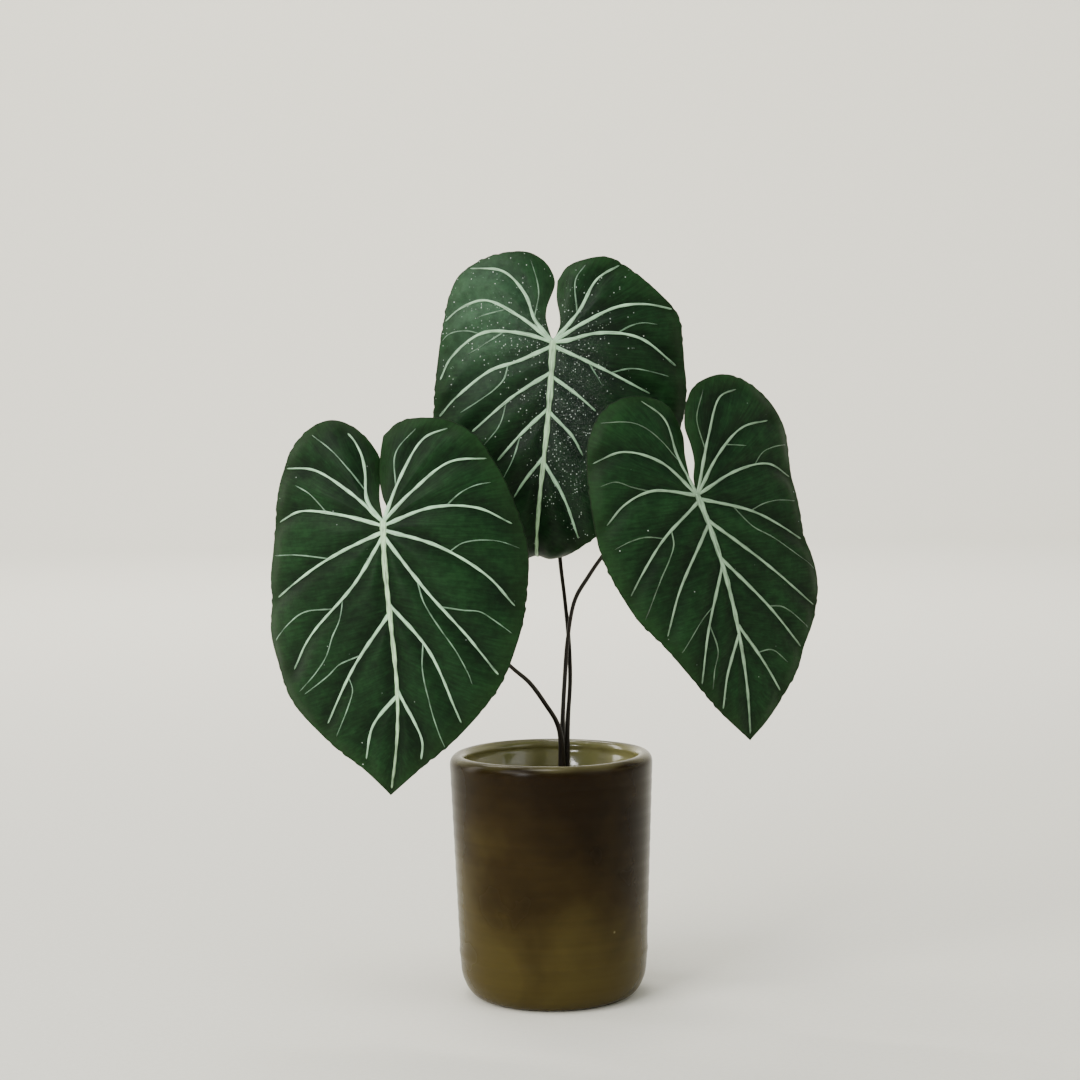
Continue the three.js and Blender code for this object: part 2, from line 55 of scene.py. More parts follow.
ahead = Vector((0, np.cos(CAMERA_DOWN), -np.sin(CAMERA_DOWN)))
level = Vector((1, 0, 0))
upright = level.cross(ahead)
to_right = level * np.cos(CAMERA_ROLL) + upright * np.sin(CAMERA_ROLL)
to_top = upright * np.cos(CAMERA_ROLL) - level * np.sin(CAMERA_ROLL)
camera = bpy.data.objects.new("camera", bpy.data.cameras.new("camera"))
camera.data.angle = CAMERA_ANGLE
camera.data.clip_start = 0.01
camera.matrix_world = Matrix.Translation(CAMERA_PLACE) @ Matrix(
    (to_right, to_top, -ahead)).transposed().to_4x4()
bpy.context.scene.collection.objects.link(camera)
bpy.context.scene.camera = camera


# ---- Floor ----
# Pale matte card that lies flat under the cup and sweeps up all round into a low wall,
# so that no edge or horizon shows from any side.
FLOOR_RADIUS = 2.2
SWEEP_RADIUS = 0.7
WALL_HEIGHT = 2.4
SWEEP_STEPS = 24
FLOOR_SIDES = 128


def linear(colour):
    """sRGB hex to linear: ((c + 0.055) / 1.055) ** 2.4, or c / 12.92 up to 0.04045."""
    value = np.array([int(colour[i:i + 2], 16) / 255 for i in (0, 2, 4)])
    low = value <= 0.04045
    return (*np.where(low, value / 12.92, ((value + 0.055) / 1.055) ** 2.4), 1.0)


def new_material(name):
    """An empty material, and the function that adds a node to it.

    The function sets the node's properties and colour stops, then links or fills its
    inputs. A node given as an input is linked by its Fac or else its first live output,
    and (node, output) by that output. Any other value goes on the socket itself. A
    texture, Mapping or SeparateXYZ that is given no Vector reads Object coordinates.
    """
    material = bpy.data.materials.new(name)
    material.use_nodes = True
    tree = material.node_tree
    tree.nodes.clear()
    place = tree.nodes.new("ShaderNodeTexCoord")

    def add(kind, inputs=None, stops=None, **settings):
        node = tree.nodes.new("ShaderNode" + kind)
        for key, value in settings.items():
            setattr(node, key, value)
        if stops:
            elements = node.color_ramp.elements
            while len(elements) < len(stops):
                elements.new(0.5)
            for element, (position, colour) in zip(elements, stops):
                element.position = position
                element.color = linear(colour)
        inputs = dict(inputs or {})
        if kind.startswith(("Tex", "Mapping", "SeparateXYZ")):
            inputs.setdefault("Vector", (place, "Object"))
        for key, value in inputs.items():
            if isinstance(value, bpy.types.Node):
                live = next(output for output in value.outputs if output.enabled)
                tree.links.new(value.outputs.get("Fac", live), node.inputs[key])
            elif isinstance(value, tuple) and isinstance(value[0], bpy.types.Node):
                tree.links.new(value[0].outputs[value[1]], node.inputs[key])
            else:
                node.inputs[key].default_value = value
        return node

    return material, add


def grid_faces(rows, columns, first=0, closed=False):
    """Quads between neighbouring rows and columns of a grid. closed joins the last column
    to the first one."""
    across = columns if closed else columns - 1
    i, j = np.meshgrid(np.arange(rows - 1), np.arange(across), indexing="ij")
    a = i * columns + j
    b = i * columns + (j + 1) % columns
    return first + np.stack([a, b, b + columns, a + columns], -1).reshape(-1, 4)


def make_piece(name, points, faces, materials, uv=None, attributes=None, which=None):
    """A mesh from points in millimetres: doubles merged, faces turned outwards, smooth.

    uv is one pair for each point, attributes one number, and which picks each face's
    material.
    """
    mesh = bpy.data.meshes.new(name)
    mesh.from_pydata(np.asarray(points) / 1000, [], np.asarray(faces).tolist())
    for material in materials:
        mesh.materials.append(material)
    if which is not None:
        mesh.polygons.foreach_set("material_index", np.asarray(which, np.int32))
    if uv is not None:
        corner = np.empty(len(mesh.loops), np.int32)
        mesh.loops.foreach_get("vertex_index", corner)
        layer = mesh.uv_layers.new(name="lines")
        layer.data.foreach_set("uv", np.asarray(uv, np.float32)[corner].ravel())
    for key, values in (attributes or {}).items():
        layer = mesh.attributes.new(key, "FLOAT", "POINT")
        layer.data.foreach_set("value", np.asarray(values, np.float32))
    work = bmesh.new()
    work.from_mesh(mesh)
    bmesh.ops.remove_doubles(work, verts=work.verts, dist=2e-6)
    bmesh.ops.recalc_face_normals(work, faces=work.faces)
    work.to_mesh(mesh)
    work.free()
    mesh.shade_smooth()
    piece = bpy.data.objects.new(name, mesh)
    bpy.context.scene.collection.objects.link(piece)
    return piece


def swept_floor():
    """A profile spun about Z: flat to the sweep, a quarter circle, then a straight wall."""
    turn = np.linspace(0, np.pi / 2, SWEEP_STEPS)
    radius = np.concatenate([
        np.geomspace(0.05, FLOOR_RADIUS, SWEEP_STEPS),
        FLOOR_RADIUS + SWEEP_RADIUS * np.sin(turn), [FLOOR_RADIUS + SWEEP_RADIUS]])
    height = np.concatenate([
        np.zeros(SWEEP_STEPS), SWEEP_RADIUS * (1 - np.cos(turn)), [WALL_HEIGHT]])
    angle = np.linspace(0, 2 * np.pi, FLOOR_SIDES, endpoint=False)
    rings = np.stack([radius[:, None] * np.cos(angle), radius[:, None] * np.sin(angle),
                      np.repeat(height[:, None], len(angle), 1)], -1)
    centre = np.zeros((1, len(angle), 3))
    return np.concatenate([centre, rings]).reshape(-1, 3) * 1000


# Uncoated card: quite matte, a faint tooth
card, add = new_material("floor_matte_card")
tooth = add("TexNoise", {"Scale": 700.0})
tone = add("ValToRGB", {"Fac": tooth}, stops=[(0.3, "e5e4da"), (0.7, "e9e8df")])
surface = add("BsdfPrincipled", {"Base Color": tone, "Roughness": 0.85, "Specular IOR Level": 0.2})
add("OutputMaterial", {"Surface": surface})

floor_points = swept_floor()
floor = make_piece(
    "floor", floor_points,
    grid_faces(len(floor_points) // FLOOR_SIDES, FLOOR_SIDES, closed=True), [card])


# ---- Light ----
# One large soft window at the left front and high, with one narrow bright pane that
# sparkles on wet skin and glaze, a small soft box overhead that models the blades' puffed
# panels, a tall pale strip at the left that the glaze mirrors, a weak fill, and a wash on
# the card behind. The open top of the sweep lets in a pale sky.
LIGHTS = [
    # name, place, aim, width, height, watts, colour
    ("window", (-0.95, -0.8, 1.0), (0.0, 0.0, 0.12), 0.6, 0.9, 13, "fffaf2"),
    ("pane", (-0.52, -0.83, 0.37), (0.0, 0.0, 0.1), 0.15, 0.45, 4.5, "ffffff"),
    ("top", (-0.15, -0.25, 1.15), (0.0, 0.0, 0.12), 0.45, 0.45, 5, "fffdf8"),
    ("strip", (-1.25, 0.3, 0.45), (0.0, 0.0, 0.06), 0.35, 1.1, 7, "fffaf2"),
    ("fill", (1.3, -0.9, 0.6), (0.0, 0.0, 0.12), 1.0, 1.0, 3, "f2f5ff"),
    ("wash", (-0.4, 0.9, 1.7), (0.3, 2.6, 0.5), 1.2, 0.6, 68, "fffaf4"),
]

for name, place, aim, width, height, watts, colour in LIGHTS:
    lamp = bpy.data.lights.new(name, "AREA")
    lamp.shape = "RECTANGLE"
    lamp.size = width
    lamp.size_y = height
    lamp.energy = watts
    lamp.color = linear(colour)[:3]
    holder = bpy.data.objects.new(name, lamp)
    holder.location = place
    holder.rotation_euler = (Vector(aim) - Vector(place)).to_track_quat("-Z", "Y").to_euler()
    bpy.context.scene.collection.objects.link(holder)

sky = bpy.data.worlds.new("sky")
sky.use_nodes = True
sky.node_tree.nodes["Background"].inputs["Color"].default_value = linear("e9ecef")
sky.node_tree.nodes["Background"].inputs["Strength"].default_value = 0.68
bpy.context.scene.world = sky


# ---- Cup ----
# A stoneware cup, thrown on the wheel, with a thick wall, a soft lip and a bevel down to a
# small foot. It was dipped in an olive-brown glaze that breaks paler over the lip.
CUP_HEIGHT = 66
LIP_RADIUS = 27.5
WALL = 5.2
BELLY_RADIUS = 25.4
BEVEL_HEIGHT = 9.5
FOOT_RADIUS = 20
FLOOR_THICKNESS = 6
FLOOR_FILLET = 5
CUP_SIDES = 192
GLAZE_ROLL = 0.28
GLAZE_ROLL_HEIGHT = 12.3
GLAZE_ROLL_WIDTH = 1.3
INNER_FLARE = 1.3
FLARE_START = 52
COARSE_RING = (0.03, 4.7)  # height of a throwing ring and the pitch of them
FINE_RING = (0.015, 2.3)
OVAL = 0.12
WAVY_LIP = 0.1


def inner_radius(height):
    """The wall's inner face: straight from the belly to the lip, less the wall."""
    rise = (height - BEVEL_HEIGHT) / (CUP_HEIGHT - BEVEL_HEIGHT)
    return BELLY_RADIUS + (LIP_RADIUS - BELLY_RADIUS) * rise - WALL


def cup_points():
    """The cup's profile spun about Z.

    From the axis: flat foot, elliptic bevel, straight wall, half-round lip, inner wall,
    quarter-round fillet, flat floor. On the wall the radius gains the throwing rings, a
    sum of two sines of height that shift with the angle, and the glaze roll, a Gaussian
    of height just above the bevel. The inner wall flares by a square law below the lip.
    The second array marks where the glaze breaks pale over the lip, a Gaussian, and the
    inside, which is painted paler as a pool of light and also given the glassy coat.
    """
    bevel = np.linspace(0, np.pi / 2, 20)
    lip = np.linspace(0, np.pi, 24)
    fillet = np.linspace(0, np.pi / 2, 10)
    lip_radius = WALL / 2
    wall_top = CUP_HEIGHT - lip_radius
    wall = np.linspace(BEVEL_HEIGHT, wall_top, 90)[1:-1]
    inside = np.linspace(wall_top, FLOOR_THICKNESS + FLOOR_FILLET, 50)[1:-1]
    flare = INNER_FLARE * np.clip((inside - FLARE_START) / (wall_top - FLARE_START), 0, 1) ** 2
    fillet_radius = inner_radius(FLOOR_THICKNESS + FLOOR_FILLET) - FLOOR_FILLET
    rise = (wall - BEVEL_HEIGHT) / (wall_top - BEVEL_HEIGHT)
    radius = np.concatenate([
        [0, FOOT_RADIUS * 0.5, FOOT_RADIUS - 0.6],
        FOOT_RADIUS + (BELLY_RADIUS - FOOT_RADIUS) * np.sin(bevel),
        BELLY_RADIUS + (LIP_RADIUS - BELLY_RADIUS) * rise,
        LIP_RADIUS - lip_radius + lip_radius * np.cos(lip) + INNER_FLARE * (lip / np.pi) ** 2,
        inner_radius(inside) + flare,
        fillet_radius + FLOOR_FILLET * np.cos(fillet),
        [fillet_radius * 0.5, 0]])
    height = np.concatenate([
        [0, 0, 0], BEVEL_HEIGHT * (1 - np.cos(bevel)), wall,
        wall_top + lip_radius * np.sin(lip), inside,
        FLOOR_THICKNESS + FLOOR_FILLET * (1 - np.sin(fillet)), [FLOOR_THICKNESS] * 2])
    angle = np.linspace(0, 2 * np.pi, CUP_SIDES, endpoint=False)
    radius, height, angle = radius[:, None], height[:, None], angle[None, :]
    on_wall = np.clip(height / 6, 0, 1) * np.clip((CUP_HEIGHT - 1 - height) / 4, 0, 1)
    on_wall = on_wall * (radius > FOOT_RADIUS * 0.9)
    turns = 2 * np.pi * height
    rings = COARSE_RING[0] * np.sin(turns / COARSE_RING[1] + 0.7 * np.sin(angle + 1))
    rings = rings + FINE_RING[0] * np.sin(turns / FINE_RING[1] + 1.1 * np.sin(2 * angle))
    roll = GLAZE_ROLL * np.exp(-((height - GLAZE_ROLL_HEIGHT) / GLAZE_ROLL_WIDTH) ** 2)
    roll = roll * (radius > BELLY_RADIUS - 1) * (0.8 + 0.2 * np.sin(3 * angle + 0.5))
    oval = OVAL * np.sin(2 * angle + 0.8) * np.clip(height / 20, 0, 1)
    spread = radius + on_wall * rings + roll + oval * (radius > 1)
    wavy_lip = WAVY_LIP * np.sin(3 * angle + 1.4) * np.clip((height - 55) / 10, 0, 1)
    points = np.stack([spread * np.cos(angle), spread * np.sin(angle),
                       height + wavy_lip + 0 * angle], -1)
    turn = np.arange(len(radius))[:, None] / len(radius)
    crest = np.argmax(height) / len(radius)
    over_lip = np.exp(-((height - CUP_HEIGHT - 0.1) / 1.1) ** 2) * 0.24
    # Painted light: the inside is painted paler olive, a pool of light, and gets the glassy coat
    inner_light_and_coat = 0.9 * np.clip((turn - crest) * 30, 0, 1)
    drip = 0.06 * np.sin(5 * angle + 2) + 0.05 * np.sin(11 * angle)
    thin_lip_and_inner_light = np.clip(np.maximum(over_lip, inner_light_and_coat) + drip * (over_lip > 0.03), 0, 1)
    return points.reshape(-1, 3), thin_lip_and_inner_light.ravel()


# Stoneware under a glossy, slightly uneven transmuted glaze: brown where it lies thick,
# olive where it is thin, grey-olive over the lip, with faint rings and pale pinholes. Painted
# reflection makes it darker at the top and paler low down and on the left, a painted pool of
# light makes the inside paler, and the pale pinholes also stand in for painted glints
glaze, add = new_material("cup_olive_glaze")
axes = add("SeparateXYZ")
clouds = add("TexNoise", {  # clouds of glaze about 25 mm across
    "Scale": 40.0, "Detail": 3.0, "Distortion": 0.4})
run = add("MapRange", {  # painted reflection: darker at the top, paler above the foot
    "Value": (axes, "Z"), "From Min": 0.01, "From Max": 0.054, "To Min": 0.39, "To Max": 0.08})
painted_left_reflection = add("MapRange", {  # painted reflection: paler on the left side, which mirrors the bright left
    "Value": (axes, "X"), "From Min": -0.027, "From Max": 0.0, "To Min": 0.12, "To Max": 0.0},
    interpolation_type="SMOOTHSTEP")
glaze_and_reflection_tone = add("Math", {0: clouds, 1: 0.52, 2: run}, operation="MULTIPLY_ADD")
glaze_and_reflection_tone = add("Math", {0: glaze_and_reflection_tone, 1: painted_left_reflection}, operation="ADD")
body = add("ValToRGB", {"Fac": glaze_and_reflection_tone}, stops=[(0.34, "170e02"), (0.5, "281e09"), (0.68, "3f3618")])
squash = add("Mapping", {  # throwing rings about 1.4 mm apart
    "Scale": (14.0, 14.0, 700.0)})
rings = add("TexNoise", {"Vector": squash, "Scale": 1.0, "Detail": 3.0})
ring_tone = add("MapRange", {
    "Value": rings, "From Min": 0.3, "From Max": 0.7, "To Min": 0.94, "To Max": 1.06})
ringed = add("VectorMath", {0: body, "Scale": ring_tone}, operation="SCALE")
# Grey-olive where the glaze breaks over the lip; inside, the same paler olive is a painted pool of
# light
thin_lip_and_inner_light = add("Attribute", attribute_name="thin_lip_and_inner_light")
coloured = add("Mix", {0: thin_lip_and_inner_light, 6: ringed, 7: linear("827e50")}, data_type="RGBA")
pinholes_and_glints = add("TexVoronoi", {  # pale pinholes, a dozen round the wall, also standing in for painted glints
    "Scale": 110.0})
pinhole_and_glint = add("MapRange", {
    "Value": pinholes_and_glints, "From Min": 0.015, "From Max": 0.05, "To Min": 0.45, "To Max": 0.0})
specked = add("Mix", {0: pinhole_and_glint, 6: coloured, 7: linear("8a8460")}, data_type="RGBA")
bump = add("Bump", {"Height": rings, "Strength": 0.3, "Distance": 0.0001})
gloss = add("Math", {0: clouds, 1: -0.2, 2: 0.35}, operation="MULTIPLY_ADD")
surface = add("BsdfPrincipled", {
    "Base Color": specked, "Roughness": gloss, "Normal": bump,
    "IOR": 1.5, "Specular IOR Level": 0.08, "Coat Weight": thin_lip_and_inner_light, "Coat Roughness": 0.13,
    "Coat IOR": 1.7})
add("OutputMaterial", {"Surface": surface})

points, lip_and_inner_light = cup_points()
cup = make_piece("glazed_cup", points,
                 grid_faces(len(points) // CUP_SIDES, CUP_SIDES, closed=True), [glaze],
                 attributes={"thin_lip_and_inner_light": lip_and_inner_light})
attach(cup, "root")
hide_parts("pot")


# ---- Potting mix ----
# Loose peat and chopped bark with a few grains of perlite, tipped in round the roots and
# pressed down a finger's width below the lip.
MIX_LEVEL = 55.5
MIX_RELIEF = 0.7
MIX_GAP = 0.3
MIX_SIDES = 96
MIX_RINGS = 40
GRIT = 0.12
CRUMBS = 700
CRUMB_SIDES = 8
CRUMB_RINGS = 5
PERLITE_SHARE = 0.05
random = np.random.default_rng(7)


def mix_relief(x, y):
    """Height over the mean level: 0.6 of a coarse and 0.4 of a fine product of sines."""
    coarse = np.sin(0.55 * x + 1.3) * np.cos(0.5 * y - 0.4)
    fine = np.sin(1.1 * x - 0.9 * y + 2.1) * np.cos(0.8 * x + 1.2 * y)
    return MIX_RELIEF * (0.6 * coarse + 0.4 * fine)


def mix_body():
    """Rings from the centre of the bottom, out and up the wall, and back over the rough
    top to the centre, which carries small random grit as well as the relief."""
    bottom = FLOOR_THICKNESS + MIX_GAP
    fillet_top = bottom + FLOOR_FILLET
    edge = inner_radius(MIX_LEVEL) - MIX_GAP
    radius = np.concatenate([
        [0, inner_radius(fillet_top) - MIX_GAP - FLOOR_FILLET,
         inner_radius(fillet_top) - MIX_GAP], np.linspace(edge, 0, MIX_RINGS)])
    height = np.concatenate([[bottom, bottom, fillet_top], np.full(MIX_RINGS, MIX_LEVEL)])
    angle = np.linspace(0, 2 * np.pi, MIX_SIDES, endpoint=False)
    x, y = radius[:, None] * np.cos(angle), radius[:, None] * np.sin(angle)
    grit = random.normal(0, GRIT, x.shape)
    grit[-1] = 0
    top = (np.arange(len(radius)) > 2)[:, None]
    z = height[:, None] + top * (mix_relief(x, y) + grit)
    return np.stack([x, y, z], -1).reshape(-1, 3), grid_faces(len(radius), MIX_SIDES, closed=True)


def mix_crumbs():
    """Crumbs: one coarse globe, stretched, dented and turned at random, and strewn
    evenly over the disc (radius as the square root of a random number)."""
    turn = np.linspace(0, 2 * np.pi, CRUMB_SIDES, endpoint=False)
    rise = np.linspace(-np.pi / 2, np.pi / 2, CRUMB_RINGS)[:, None]
    globe = np.stack([np.cos(rise) * np.cos(turn), np.cos(rise) * np.sin(turn),
                      np.sin(rise) + 0 * turn], -1).reshape(-1, 3)
    size = random.uniform(0.35, 1.15, (CRUMBS, 1)) ** 1.3
    white = random.random(CRUMBS) < PERLITE_SHARE
    stretch = random.uniform(0.35, 1.0, (CRUMBS, 3))
    stretch[white] = random.uniform(0.8, 1.0, (white.sum(), 3))
    dents = random.uniform(0.78, 1.12, (CRUMBS, len(globe)))
    dents[:, :CRUMB_SIDES] = dents[:, :1]
    dents[:, -CRUMB_SIDES:] = dents[:, -1:]
    shapes = globe * dents[..., None] * (stretch * size)[:, None]
    yaw = random.uniform(0, 2 * np.pi, CRUMBS)
    tilt = random.normal(0, 0.5, CRUMBS)
    x = shapes[..., 0] * np.cos(tilt)[:, None] - shapes[..., 2] * np.sin(tilt)[:, None]
    z = shapes[..., 0] * np.sin(tilt)[:, None] + shapes[..., 2] * np.cos(tilt)[:, None]
    y = shapes[..., 1]
    x, y = (x * np.cos(yaw)[:, None] - y * np.sin(yaw)[:, None],
            x * np.sin(yaw)[:, None] + y * np.cos(yaw)[:, None])
    radius = (inner_radius(MIX_LEVEL) - 1.4) * np.sqrt(random.random(CRUMBS))
    around = random.uniform(0, 2 * np.pi, CRUMBS)
    cx, cy = radius * np.cos(around), radius * np.sin(around)
    cz = MIX_LEVEL + mix_relief(cx, cy) + 0.25 * size[:, 0]
    points = np.stack([x + cx[:, None], y + cy[:, None], z + cz[:, None]], -1)
    faces = grid_faces(CRUMB_RINGS, CRUMB_SIDES, closed=True)[None]
    faces = faces + (np.arange(CRUMBS) * len(globe))[:, None, None]
    shade = np.repeat(random.random(CRUMBS), len(globe))
    return points.reshape(-1, 3), faces.reshape(-1, 4), shade, np.repeat(white, len(faces[0]))


# Peat, coir and bark: dull, fibrous, brown to nearly black, a different tone in each crumb
bark, add = new_material("mix_bark_and_peat")
crumb_shade = add("Attribute", attribute_name="shade")
fibre = add("TexNoise", {  # fibres and grit about 0.5 mm
    "Scale": 2000.0, "Detail": 3.0})
blend = add("Math", {0: crumb_shade, 1: fibre}, operation="MULTIPLY")
tone = add("ValToRGB", {"Fac": blend}, stops=[(0.0, "17100a"), (0.3, "2f2016"), (0.65, "5a3f28")])
bump = add("Bump", {"Height": fibre, "Strength": 0.8, "Distance": 0.0002})
surface = add("BsdfPrincipled", {"Base Color": tone, "Roughness": 0.9, "Normal": bump})
add("OutputMaterial", {"Surface": surface})

# Perlite: popped volcanic glass, chalky and pitted
perlite, add = new_material("mix_perlite")
pores = add("TexNoise", {"Scale": 2500.0})
tone = add("ValToRGB", {"Fac": pores}, stops=[(0.3, "8d8576"), (0.6, "cfc8b9")])
bump = add("Bump", {"Height": pores, "Strength": 0.7, "Distance": 0.0002})
surface = add("BsdfPrincipled", {"Base Color": tone, "Roughness": 0.8, "Normal": bump})
add("OutputMaterial", {"Surface": surface})

body_points, body_faces = mix_body()
crumb_points, crumb_faces, crumb_shades, crumb_white = mix_crumbs()
mix = make_piece(
    "potting_mix_crumbs", np.concatenate([body_points, crumb_points]),
    np.concatenate([body_faces, crumb_faces + len(body_points)]), [bark, perlite],
    attributes={"shade": np.concatenate([np.full(len(body_points), 0.25), crumb_shades])},
    which=np.concatenate([np.zeros(len(body_faces)), crumb_white]))
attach(mix, "root")
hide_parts("potting_mix")
